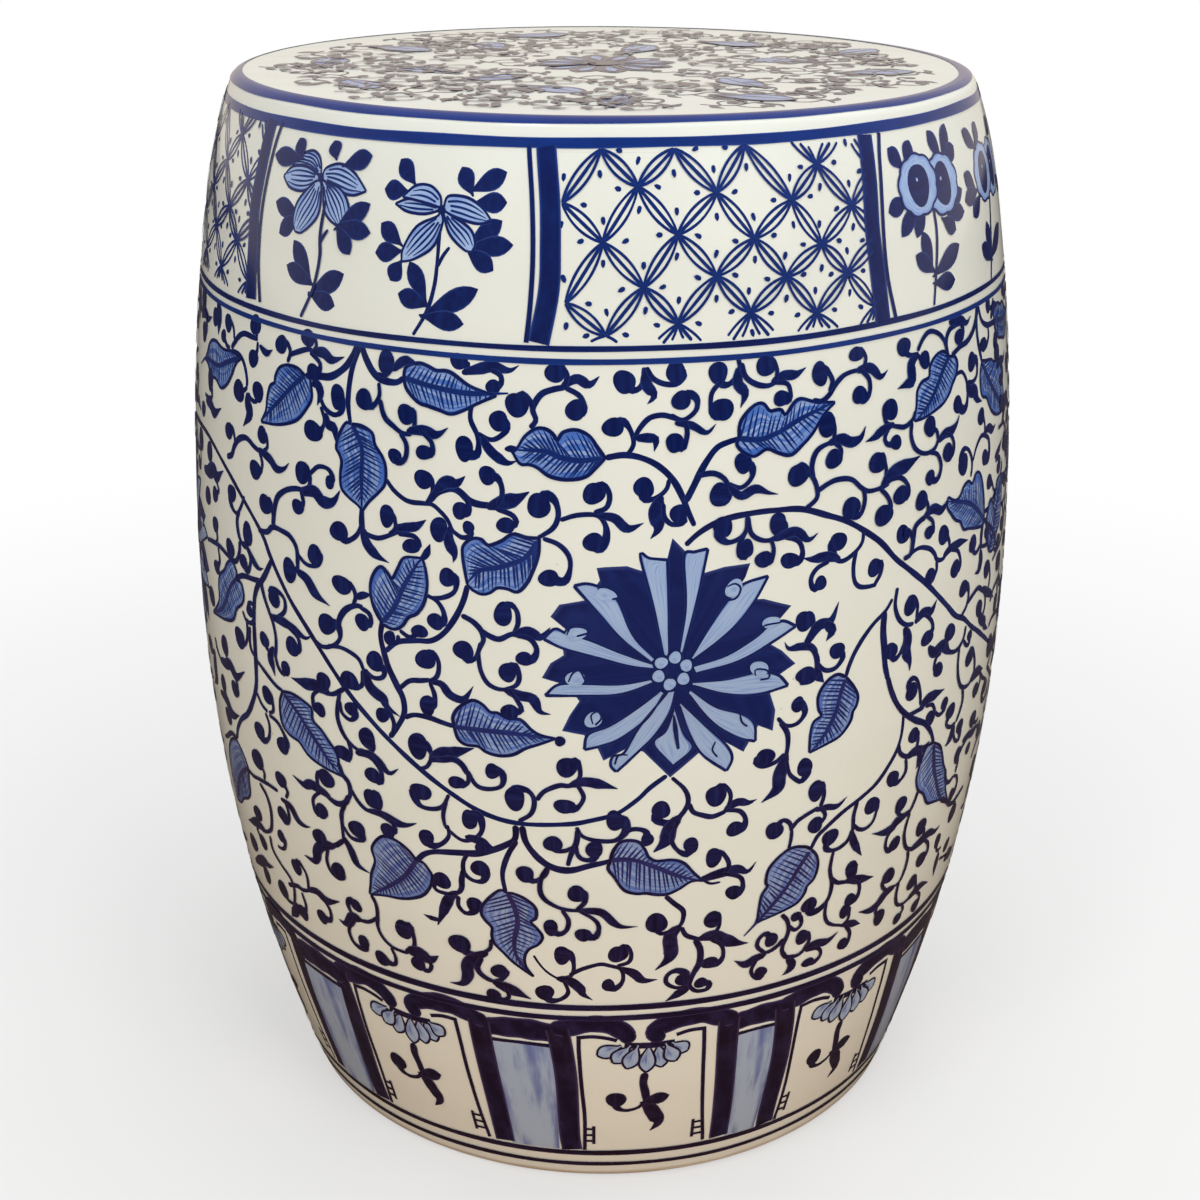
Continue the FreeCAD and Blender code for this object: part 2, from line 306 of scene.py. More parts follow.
GLAZE_WHITE = (0.80, 0.825, 0.755)
GLAZE_COOL = (0.76, 0.80, 0.765)
# Warm colour painted low on the glaze, standing in for light thrown up from the floor.
GLAZE_PAINTED_WARM_LIGHT = (0.82, 0.745, 0.62)
CLAY = (0.58, 0.47, 0.35)
CLAY_DARK = (0.44, 0.33, 0.23)
IRON_SPECK = (0.30, 0.22, 0.15)
PALE_GRAIN = (0.75, 0.68, 0.56)
WIPED_RIM = (0.47, 0.30, 0.17)
GLAZE_IOR = 1.52
GLAZE_ROUGHNESS = 0.13


def glaze_over(tree, place):
    """Colour of the clear glaze on its white slip: cooler near the top, and warmer low down, where the
    warmth is painted light standing in for light thrown up by the warm floor; with slow clouds and a
    few iron specks."""
    height = part_of(tree, place, 2)
    clouds = noise(tree, place, 7.0, 3.0)
    # Painted warm light: the glaze is blended towards a warm colour low down, standing in for floor
    # bounce light.
    low = (height + clouds * 0.08).over(0.30, 0.02)
    colour = blend_colours(tree, low * 0.8, GLAZE_WHITE, GLAZE_PAINTED_WARM_LIGHT)
    high = (height + clouds * 0.1).over(0.28, 0.50)
    colour = blend_colours(tree, high * 0.7, colour, GLAZE_COOL)
    cells = node(tree, "ShaderNodeTexVoronoi", {}, {"Vector": place, "Scale": 95.0})
    rare = noise(tree, place, 31.0).over(0.60, 0.66)
    specks = cells.over(0.07, 0.035) * rare
    return blend_colours(tree, specks * 0.55, colour, IRON_SPECK)


def glaze_relief(tree, place):
    """The long soft waves and fine orange peel of a poured glaze, as a normal."""
    waves = noise(tree, place, 22.0, 2.0) + noise(tree, place, 260.0, 1.0) * 0.035
    return bump(tree, waves, 0.0011, 0.5)


def glazed_stoneware():
    material, tree, shader = start_material("clear_glaze_on_white_slip")
    place = object_place(tree)
    gloss = GLAZE_ROUGHNESS - 0.03, GLAZE_ROUGHNESS + 0.05
    roughness = noise(tree, place, 38.0, 3.0).over(0.2, 0.8, *gloss)
    feed(tree, shader, Base_Color=glaze_over(tree, place), Roughness=roughness)
    feed(tree, shader, Normal=glaze_relief(tree, place))
    shader.inputs["IOR"].default_value = GLAZE_IOR
    return material


def clay_colour(tree, place):
    """Bare fired clay: sandy mottling with dark grog and paler grains."""
    mottle = noise(tree, place, 60.0, 6.0, 0.65).over(0.3, 0.7)
    colour = blend_colours(tree, mottle, CLAY_DARK, CLAY)
    grains = noise(tree, place, 900.0, 2.0).over(0.62, 0.72)
    return blend_colours(tree, grains * 0.5, colour, PALE_GRAIN)


def clay_relief(tree, place):
    grit = noise(tree, place, 420.0, 5.0, 0.7) + noise(tree, place, 90.0, 3.0) * 0.6
    return bump(tree, grit, 0.0007, 0.8)


def bare_clay():
    material, tree, shader = start_material("bare_fired_clay")
    place = object_place(tree)
    roughness = noise(tree, place, 200.0, 3.0).over(0.3, 0.7, 0.78, 0.95)
    feed(tree, shader, Base_Color=clay_colour(tree, place), Roughness=roughness)
    feed(tree, shader, Normal=clay_relief(tree, place))
    return material


def foot_stoneware():
    """The foot ring: glazed outside down to where the glaze was wiped off, bare clay below."""
    material, tree, shader = start_material("glazed_foot_with_wiped_rim")
    place = object_place(tree)
    height = part_of(tree, place, 2)
    ragged = height + noise(tree, place, 45.0, 3.0) * 0.0022
    bare = ragged.over(0.0034, 0.0027)
    rim = ragged.over(0.0056, 0.0036) * 0.55
    colour = blend_colours(tree, rim, glaze_over(tree, place), WIPED_RIM)
    colour = blend_colours(tree, bare, colour, clay_colour(tree, place))
    roughness = bare * 0.72 + GLAZE_ROUGHNESS
    feed(tree, shader, Base_Color=colour, Roughness=roughness, Normal=glaze_relief(tree, place))
    shader.inputs["IOR"].default_value = GLAZE_IOR
    return material


# Cobalt and its washes change colour with the height on the drum, from violet-black low down to clear
# blue at the top. A stop lies at about nine tenths of its height's share of the seat's height.
INK_DEEP = ((0.0, (0.012, 0.003, 0.009)), (0.30, (0.008, 0.0035, 0.022)), (0.55, (0.003, 0.006, 0.060)),
            (0.78, (0.0012, 0.008, 0.078)), (0.92, (0.0008, 0.010, 0.100)))
INK_EDGE = ((0.0, (0.10, 0.05, 0.10)), (0.30, (0.09, 0.07, 0.22)), (0.55, (0.05, 0.08, 0.28)),
            (0.78, (0.03, 0.08, 0.34)), (0.92, (0.03, 0.10, 0.42)))
INK_BRIGHT = ((0.0, (0.06, 0.03, 0.07)), (0.30, (0.05, 0.04, 0.16)), (0.55, (0.02, 0.045, 0.24)),
              (0.78, (0.005, 0.035, 0.22)), (0.92, (0.003, 0.032, 0.22)))
WASH_PALE = ((0.0, (0.44, 0.48, 0.55)), (0.35, (0.34, 0.42, 0.58)),
             (0.60, (0.36, 0.48, 0.69)), (0.85, (0.36, 0.50, 0.78)))
WASH_MID = ((0.0, (0.17, 0.17, 0.30)), (0.35, (0.12, 0.18, 0.45)),
            (0.60, (0.07, 0.16, 0.52)), (0.85, (0.05, 0.16, 0.58)))
WASH_STRONG = ((0.0, (0.06, 0.05, 0.16)), (0.35, (0.04, 0.06, 0.28)),
               (0.60, (0.015, 0.05, 0.34)), (0.85, (0.008, 0.05, 0.40)))


def stroke_chart(tree, grain):
    """The map that a stroke carries, in three readings: its u, which is mostly the height of the
    stroke and a little the way along it, its v across the stroke, and the whole stretched by a grain.
    """
    chart = node(tree, "ShaderNodeUVMap", {"uv_map": STROKE_MAP}, {})
    stretched = node(tree, "ShaderNodeMapping", {}, {"Vector": chart, "Scale": (*grain, 1.0)})
    return part_of(tree, chart, 0), part_of(tree, chart, 1), stretched


def under_glaze(tree, shader, colour):
    """Paint under the glaze: the colour is its own and the gloss is the glaze's."""
    feed(tree, shader, Base_Color=colour)
    shader.inputs["Roughness"].default_value = GLAZE_ROUGHNESS
    shader.inputs["IOR"].default_value = GLAZE_IOR


def ink(name, brightness):
    """Brushed cobalt: the ink pools in the middle of a stroke and bleeds at its edges, and a brush
    that runs dry lets the brighter blue through."""
    material, tree, shader = start_material(name)
    along, across, stretched = stroke_chart(tree, (60.0, 1.2))
    load = noise(tree, stretched, 1.0, 3.0, 0.6).over(0.35, 0.72)
    share = (load * 0.3 + brightness).clamp()
    body = blend_colours(tree, share, ramp(tree, INK_DEEP, along), ramp(tree, INK_BRIGHT, along))
    bleed = ((across - 0.5).size() * 2).over(0.72, 1.0) * 0.5
    under_glaze(tree, shader, blend_colours(tree, bleed, body, ramp(tree, INK_EDGE, along)))
    return material


def wash(name, strength, streaks=1.0, grain=(16.0, 11.0)):
    """Thin cobalt wash: the brush leaves streaks along u, and the pigment gathers at the edges."""
    material, tree, shader = start_material(name)
    along, across, stretched = stroke_chart(tree, grain)
    brushed = noise(tree, stretched, 1.3, 4.0, 0.6).over(0.32, 0.75)
    pooled = (across - 0.5).size().over(0.30, 0.5)
    amount = (brushed * (0.6 * streaks) + pooled * 0.2 + strength).clamp()
    pale, mid, strong = (ramp(tree, stops, along) for stops in (WASH_PALE, WASH_MID, WASH_STRONG))
    colour = blend_colours(tree, amount.over(0.0, 0.5), pale, mid)
    under_glaze(tree, shader, blend_colours(tree, amount.over(0.5, 1.0), colour, strong))
    return material


# Clay bodies

ROUND = 288
WALL_ROWS = 75
CREASE = 35


def turned_body(name, outline, glazed_until, node_name, materials):
    """A closed ring of clay: the outline, a loop of radii and heights, turned round the axis.

    Every point of the outline strays by the hand's wobble, so that pieces that meet stay together.
    Faces up to `glazed_until` of the outline take the first material and the rest the second.
    """
    radius, height = np.array(outline, float).T[:, :, None]
    angle = np.arange(ROUND)[None, :] * 360.0 / ROUND
    radius = radius + hand_wobble(angle, height)
    turn = np.radians(angle)
    places = np.broadcast_arrays(radius * np.sin(turn), -radius * np.cos(turn), height)
    faces = grid_faces(len(outline), ROUND, close_rows=True, close_columns=True)
    slots = (np.arange(len(faces)) // ROUND) >= glazed_until
    piece = new_piece(name, np.stack(places, -1).reshape(-1, 3) * MM, faces, materials=materials,
                      face_slots=slots, sharp=CREASE)
    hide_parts(node_name)
    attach(piece, "root")


def wall_outline(bottom, top):
    """Loop of a barrel wall, up the outside and down the inside, and the rows of it that are glazed."""
    up = np.linspace(bottom, top, WALL_ROWS)
    outside = list(zip(sweep_radius(up), up))
    down = np.linspace(top, bottom, WALL_ROWS // 3)
    return outside + list(zip(sweep_radius(down, WALL), down)), WALL_ROWS - 1


def make_barrels(glaze, clay):
    for name, bottom, top in (("lower_barrel", FOOT_JOINT, BELLY_HEIGHT),
                              ("upper_barrel", BELLY_HEIGHT, SEAT_JOINT)):
        outline, glazed = wall_outline(bottom, top)
        turned_body(name + "_glazed", outline, glazed, name, [glaze, clay])


def make_foot(foot):
    """The foot ring: its outside carries the barrel's sweep down to a small bevel, and its bore has a
    rounded lower edge."""
    up = np.linspace(FOOT_BEVEL, FOOT_JOINT, 9)
    outside = [(float(sweep_radius(0.0)) - FOOT_BEVEL, 0.0)] + list(zip(sweep_radius(up), up))
    turn = np.linspace(0, math.pi / 2, 7)
    bore = FOOT_BORE + FOOT_BORE_ROUND * (1 - np.cos(turn))
    rim = FOOT_BORE_ROUND * (1 - np.sin(turn))
    inside = [(FOOT_BORE, FOOT_JOINT), (FOOT_BORE, FOOT_JOINT / 2)] + list(zip(bore, rim))
    turned_body("foot_ring_wiped", outside + inside, 0, "foot_ring", [foot, foot])


def make_seat(glaze, clay):
    """The seat: a disc whose skin runs from its top centre out, over the edge and down the shoulder
    to the joint, and whose flat underside runs back to the axis."""
    climbs = np.concatenate([
        np.linspace(SEAT_CENTRE - 2, EDGE_END, 40),
        np.linspace(EDGE_END, EDGE_START, 12)[1:],
        np.linspace(EDGE_START, SEAT_JOINT, 5)[1:]])
    angle = np.arange(ROUND) * 360.0 / ROUND
    skin, _ = on_drum(angle[None, :], climbs[:, None])
    under = np.linspace(1, 0.02, 12)[:, None, None] * np.array([1, 1, 0]) * skin[-1][None]
    under = under + np.array([0, 0, SEAT_JOINT * MM])
    rows = np.concatenate([skin, under[1:]])
    points = np.concatenate([rows.reshape(-1, 3), [[0, 0, SEAT_HEIGHT * MM], [0, 0, SEAT_JOINT * MM]]])
    faces = grid_faces(len(rows), ROUND, close_columns=True)[:, ::-1]
    column = np.arange(ROUND)
    beside = (column + 1) % ROUND
    top, bottom = np.full(ROUND, len(points) - 2), np.full(ROUND, len(points) - 1)
    last = (len(rows) - 1) * ROUND
    top_fan = np.stack([column, beside, top, top], -1)
    bottom_fan = np.stack([last + beside, last + column, bottom, bottom], -1)
    bare = (np.arange(len(faces)) // ROUND) >= len(skin) - 1
    slots = np.concatenate([bare, np.zeros(ROUND), np.ones(ROUND)])
    piece = new_piece("seat_glazed", points, np.concatenate([faces, top_fan, bottom_fan]),
                      materials=[glaze, clay], face_slots=slots, sharp=CREASE)
    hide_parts("seat")
    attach(piece, "root")


# Brushwork

LINE, WASH = "cobalt_line", "cobalt_wash"
# How far the first stroke lies over the skin and how much higher each next one lies, in millimetres,
# the strokes until the steps start again, and the steps left out over a wide fill.
BASE_LIFT, LIFT_STEP = 0.06, 0.003
LIFT_CYCLE = 130
LAYER_GAP = 8
# Where the points across a stroke and the rings of a drop of ink lie, the points round a drop, and
# the millimetres from ring to ring of a wide fill.
ACROSS = np.array([0.0, 0.25, 0.75, 1.0])
DAB_RINGS = np.array([0.35, 0.75, 1.0])
DAB_POINTS = 22
BLOT_RING = 3.5
# The least that a taper leaves of a stroke's end, and the least half of a width in millimetres.
THINNEST_END, THINNEST_HALF = 0.08, 0.02
FULL_TURN = 6.28


def smooth_path(points, per_span=6):
    """Curve through the given points: each span is a cubic that heads, at each of its points, along
    the chord between that point's two neighbours, sampled evenly."""
    points = np.asarray(points, float)
    if len(points) == 2:
        share = np.linspace(0, 1, per_span + 1)[:, None]
        return points[0] * (1 - share) + points[1] * share
    ends = np.concatenate([[2 * points[0] - points[1]], points, [2 * points[-1] - points[-2]]])
    share = np.linspace(0, 1, per_span, endpoint=False)[None, :, None]
    before, start, end, after = (ends[i:len(ends) - 3 + i][:, None] for i in range(4))
    curve = 0.5 * (2 * start + (end - before) * share
                   + (2 * before - 5 * start + 4 * end - after) * share ** 2
                   + (3 * start - before - 3 * end + after) * share ** 3)
    return np.concatenate([curve.reshape(-1, 2), points[-1:]])


def lengths_along(path):
    return np.concatenate([[0], np.cumsum(np.hypot(*np.diff(path, axis=0).T))])


def resample(path, places):
    along = lengths_along(path)
    return np.stack([np.interp(places, along, path[:, i]) for i in range(2)], -1)


class Painting:
    """Brush strokes gathered into one mesh that lies a hair above the skin.

    A stroke is planned flat, in millimetres, and laid on the skin by the surface function. Each lies
    a step above the one painted before it, in whichever painting that was, so that what is painted
    later covers what is under it. The steps start again from the skin once they reach their top.
    """

    painted = 0

    @classmethod
    def start_motif(cls, strokes):
        """Start again from the skin where the next strokes would otherwise pass the top."""
        if cls.painted % LIFT_CYCLE + strokes > LIFT_CYCLE:
            cls.painted += LIFT_CYCLE - cls.painted % LIFT_CYCLE

    @classmethod
    def next_layer(cls):
        """Leave a gap over a wide fill, whose flat faces cut below the round skin."""
        cls.painted += LAYER_GAP

    def __init__(self, name, material, slot, surface):
        self.name, self.material, self.slot, self.surface = name, material, slot, surface
        self.points, self.normals, self.uv, self.faces = [], [], [], []
        self.count = 0

    def _lay(self, flat, uv, faces):
        lift = BASE_LIFT + LIFT_STEP * (Painting.painted % LIFT_CYCLE)
        places, normals = self.surface(flat, lift)
        self.points.append(places)
        self.normals.append(normals)
        self.uv.append(uv)
        self.faces.append(faces + self.count)
        self.count += len(flat)
        Painting.painted += 1

    def ribbon(self, path, half_width, spot):
        """A stroke along a flat path: its edges lie half a width to each side, square to the path."""
        along = lengths_along(path)
        heading = np.gradient(path, axis=0)
        heading /= np.maximum(np.linalg.norm(heading, axis=1, keepdims=True), 1e-9)
        side = np.stack([heading[:, 1], -heading[:, 0]], -1)
        reach = (ACROSS * 2 - 1)[None, :, None] * np.asarray(half_width)[:, None, None]
        flat = path[:, None] + side[:, None] * reach
        u = 0.9 * spot + 0.08 * along / max(along[-1], 1e-9)
        uv = np.stack(np.broadcast_arrays(u[:, None], ACROSS[None, :]), -1)
        self._lay(flat.reshape(-1, 2), uv.reshape(-1, 2), grid_faces(len(path), len(ACROSS)))

    def stroke(self, points, width, taper=(1.0, 1.0), belly=0.0, step=1.1):
        """A stroke through points (flat mm): width at the middle, its share left at each end, and a
        belly that swells it a third of the way along. Both ends are round."""
        path = smooth_path(points)
        total = lengths_along(path)[-1]
        body = np.linspace(0, total, max(int(total / step), 5) + 1)
        first, last = (0.5 * width * max(share, THINNEST_END) for share in taper)
        lean = 1 - np.cos(np.linspace(0.35, math.pi / 2, 4))
        places = np.unique(np.concatenate([body, [0], lean * first, total - lean * last]))
        places = np.clip(places, 0, total)
        share = places / total
        half = 0.5 * width * (1 + belly * np.sin(math.pi * share ** 0.6))
        half = half * np.interp(share, [0, 0.35, 0.6, 1], [taper[0], 1, 1, taper[1]])
        half = half * self._unsteady(places)
        for distance, end in ((places, first), (total - places, last)):
            inside = np.clip(distance / end, 0, 1)
            half = np.minimum(half, end * np.sqrt(1 - (1 - inside) ** 2) + (distance > end) * 1e3)
        self.ribbon(resample(path, places), np.maximum(half, THINNEST_HALF), self.spot(path))

    def _unsteady(self, places):
        """The brush's pressure: a slow wave of a few per cent along the stroke."""
        phase = RNG.uniform(0, FULL_TURN)
        return 1 + 0.07 * np.sin(places / 5.5 + phase) + 0.04 * np.sin(places / 1.9 + 2 * phase)

    def spot(self, path):
        """Where on the ink's map the stroke lies: its height as a share of the drum's."""
        return float(np.clip(path[:, 1].mean() / SEAT_HEIGHT, 0, 1))

    def dab(self, centre, radius, stretch=1.0, lean=0.0):
        """A round drop of ink: rings of points at shares of a radius that wavers a little with the
        angle, stretched along one direction."""
        angle = np.linspace(0, 2 * math.pi, DAB_POINTS, endpoint=False)
        twofold = 0.05 * np.sin(2 * angle + RNG.uniform(0, 6))
        threefold = 0.04 * np.sin(3 * angle + RNG.uniform(0, 6))
        rim = radius * (1 + twofold + threefold)
        rings = DAB_RINGS[:, None]
        x = rings * (rim * np.cos(angle))[None] * math.sqrt(stretch)
        y = rings * (rim * np.sin(angle))[None] / math.sqrt(stretch)
        leaning = x * math.cos(lean) - y * math.sin(lean), x * math.sin(lean) + y * math.cos(lean)
        centre = np.asarray(centre, float)
        u = self._middle_u(centre) + 0.035 * np.cos(angle)[None] * rings
        v = 0.5 + 0.4 * rings ** 3 * np.where(np.sin(angle) < 0, -1, 1)[None]
        self._lay_rings(centre, centre + np.stack(leaning, -1), u, v)

    def _middle_u(self, centre):
        return 0.9 * self.spot(centre[None]) + 0.04

    def _lay_rings(self, centre, rings, u, v):
        """A round patch: its middle point, and rings of points with their places on the map."""
        flat = np.concatenate([[centre], rings.reshape(-1, 2)])
        uv = np.stack(np.broadcast_arrays(u, v), -1).reshape(-1, 2)
        uv = np.concatenate([[[self._middle_u(centre), 0.5]], uv])
        self._lay(flat, uv, fan_faces(*rings.shape[:2]))

    def patch(self, left, right, rows=14, columns=6):
        """A filled shape between two edges that share their ends: straight lines across, from points
        at the same share of each edge's length."""
        share = np.linspace(0, 1, rows)
        edges = []
        for edge in (left, right):
            path = smooth_path(edge)
            edges.append(resample(path, share * lengths_along(path)[-1]))
        across = np.linspace(0, 1, columns)[None, :, None]
        flat = edges[0][:, None] * (1 - across) + edges[1][:, None] * across
        u = 0.88 * self.spot(flat[:, columns // 2]) + 0.1 * share[:, None]
        uv = np.stack(np.broadcast_arrays(u, 0.02 + 0.96 * across[:, :, 0]), -1)
        faces = grid_faces(rows, columns)
        middle = flat[rows // 2]
        chord = flat[-1, 0] - flat[0, 0]
        span = middle[-1] - middle[0]
        if chord[0] * span[1] - chord[1] * span[0] > 0:
            faces = faces[:, ::-1]
        self._lay(flat.reshape(-1, 2), uv.reshape(-1, 2), faces)

    def blot(self, centre, edge):
        """A filled shape that its centre can see whole: rings of points at shares of the way out."""
        first, second = edge[0] - centre, edge[1] - centre
        if first[0] * second[1] < first[1] * second[0]:
            edge = edge[::-1]
        reach = np.hypot(*(edge - centre).T).max()
        shares = np.linspace(0, 1, max(int(reach / BLOT_RING), 3) + 1)[1:, None]
        wave = 0.05 * np.cos(np.linspace(0, 6 * math.pi, len(edge)))
        u = self._middle_u(centre) + wave[None] * shares * 0.6
        v = 0.5 + 0.5 * shares ** 8
        self._lay_rings(centre, centre + shares[:, :, None] * (edge - centre)[None], u, v)

    def finish(self):
        uv = np.concatenate(self.uv)
        piece = new_piece(self.name, np.concatenate(self.points), np.concatenate(self.faces), uv=uv,
                          normals=np.concatenate(self.normals), materials=[self.material])
        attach(piece, "root")


# Strokes on the drum are planned on paper rolled round it at this radius.
PAPER_RADIUS = 178.0
DEGREE = math.radians(1) * PAPER_RADIUS


def drum_surface(flat, lift):
    """Flat x is millimetres along the paper round the drum, flat y the climb."""
    return on_drum(flat[:, 0] / DEGREE, flat[:, 1], lift)


def seat_surface(flat, lift):
    return on_seat(flat[:, 0], flat[:, 1], lift)


def on_paper(points):
    """Angles and climbs to flat millimetres, where strokes are planned."""
    points = np.asarray(points, float)
    return np.stack([points[:, 0] * DEGREE, points[:, 1]], -1)


def read_points(text):
    return np.array([[float(number) for number in pair.split()] for pair in text.split(",")])


def read_lines(text):
    """The lines of a text, where a line that ends with a comma goes on in the next."""
    return [line for line in text.replace(",\n", ",").split("\n") if line]


def read_shapes(text, edges):
    """Shapes that each take a number of lines, one for each edge."""
    lines = [read_points(line) for line in read_lines(text)]
    return [lines[first:first + edges] for first in range(0, len(lines), edges)]


HOOK_STEM = 2.0
STEM_WEIGHT, FLAME_WEIGHT, DROP_WEIGHT = 1.18, 1.15, 1.05
DROP_SHAPES = {"tall": (1.3, math.pi / 2), "wide": (1.25, 0.0), "hook": (1.0, 0.0)}


def paint_notes(notes, line, turn=0.0, keep=None, lay=on_paper, stem=HOOK_STEM):
    """Paint a list of notes. Each line is one stroke: its kind, a size in mm and its points.

    A stem is a line of that width, a bar keeps its width to square ends, a flame swells to the width
    and ends in a hair, a leaf is pointed at both ends, and a hook is a stem that curls into a drop of
    that radius at its last point. With `keep`, only what lies between two angles is painted.
    """
    for note in read_lines(notes):
        kind, size, text = note.split(None, 2)
        points, size = read_points(text), float(size)
        if keep is not None:
            points = clip_note(kind, points, keep)
            if points is None:
                continue
        flat = lay(points + [turn, 0.0])
        if kind == "stem":
            line.stroke(flat, size * STEM_WEIGHT, taper=(0.9, 0.8))
        elif kind == "bar":
            path = smooth_path(flat)
            line.ribbon(path, np.full(len(path), size / 2), line.spot(path))
        elif kind == "flame":
            line.stroke(flat, size * FLAME_WEIGHT, taper=(0.6, 0.08), belly=0.2)
        elif kind == "leaf":
            base = flat[0] - 0.2 * (flat[-1] - flat[0])
            line.patch(*petal_edges(base, flat[-1], size * 0.98, start=0.1), rows=10, columns=5)
        elif kind == "drop":
            line.dab(flat[0], size * DROP_WEIGHT)
        else:
            line.stroke(flat, stem, taper=(0.85, 0.7 * size))
            line.dab(flat[-1], size * DROP_WEIGHT, *DROP_SHAPES[kind])


def clip_note(kind, points, keep):
    """The part of a stem between the two angles, or the whole of any other stroke that ends there."""
    inside = (points[:, 0] >= keep[0]) & (points[:, 0] < keep[1])
    if kind == "stem":
        points = points[inside]
        return points if len(points) > 2 else None
    return points if inside[-1] else None


def paint_leaf(left, right, rib, fill, line, hatch, pairs=18):
    """A leaf on paper: a wash between its two edges, which run from the base to the tip, a midrib, a
    fine hatch that leaves the rib at a slant on both sides, and a dark outline."""
    Painting.start_motif(2 * pairs + 15)
    fill.patch(left, right, rows=18, columns=8)
    Painting.next_layer()
    rib_path = smooth_path(rib)
    rib_length = lengths_along(rib_path)[-1]
    for edge in (left, right):
        path = smooth_path(edge)
        length = lengths_along(path)[-1]
        for share in np.linspace(0.02, 0.84, pairs) + RNG.uniform(-0.01, 0.01, pairs):
            start = resample(rib_path, np.array([share * rib_length]))[0]
            reach = min(share * 0.86 + 0.20, 0.98)
            end = resample(path, np.array([reach * length]))[0]
            end = start + (end - start) * RNG.uniform(0.78, 0.97)
            hatch.stroke([start, end], RNG.uniform(0.55, 0.95), taper=(1.2, 0.35), step=2.2)
    hatch.stroke(rib, 2.1, taper=(1.0, 0.3))
    for edge in (left, right):
        line.stroke(edge, 1.45, taper=(1.0, 0.8))


# The scroll, as a painter's notes. VINES holds the long lines, and each of the others a part of the
# drum's front, from the lotus outwards.

VINES = """
stem 2 -75 318,-70 319,-64 318,-58 312,-53 304,-48 293,-45.6 283,-42.2 270,-38.3 258,-33 240,-29.5 230,
-26.8 223,-22.6 213,-18.7 205,-14.5 198,-10 195,-4 196,-1 198,2 201,4.5 207,6 212,8 217
stem 2.1 9.8 309,11.3 313,13 316,15 318,18 319,21 319,24.5 318,28 314,31 310,34 304,36.5 298,39 290,
41.4 284,45 275,47.5 268,50 261,52.5 254,55 250,57.5 244,60 239,62.5 234,65 229,70 219,77 204
stem 2.1 0.4 342,2.5 343,4.5 342,6.5 339,8.2 334,9.3 328,10.2 321,10.9 316
stem 2.2 9.8 325,10.8 331,12 338,13.5 344,15 346,16.5 347
stem 2 -15.8 292,-16.3 286,-17.3 279,-18.8 272,-20.5 268,-22.5 267,-25 265,-26.8 260
stem 2.3 -27.1 272,-27.4 266,-27 260,-26.4 254,-25.3 247,-24.5 242,-24.4 236,-25.3 230,-26.6 224
stem 2 -24.4 234,-23 236,-21 236,-19.5 235,-17.8 234
stem 2.5 -10.4 194,-10.5 188,-11.5 185,-13.1 182,-15.4 179,-17.7 178,-20 177,-21.5 176,-22.8 174,-24 170
stem 2.5 -9.6 194,-9.2 187,-8 181,-6.6 177,-5 175,-3.4 175,-1.5 177,0.8 179,1.5 180
stem 1.9 -10.3 187,-11.5 180,-12.3 171,-12 162
stem 2.6 -31 376,-31.7 371,-33 366,-35 362,-37 361,-39.5 360
stem 2 -30.8 374,-31.8 366,-32.2 358,-32.2 352,-31.8 346
stem 2.4 -30.6 376,-29.8 371,-28.5 366,-27 364,-25.3 364,-24.3 366
stem 1.9 28 173,28.8 178,30 181,32.5 186,35.5 190,38 194,40 200,41.4 206,42 213,42 222
stem 1.8 31.4 247,31.8 251,32.6 256,33.8 261,35.5 266,37.5 270,38.6 274
stem 2.8 37.3 270,37.2 262,37.5 255,37.8 247,38.5 240
"""

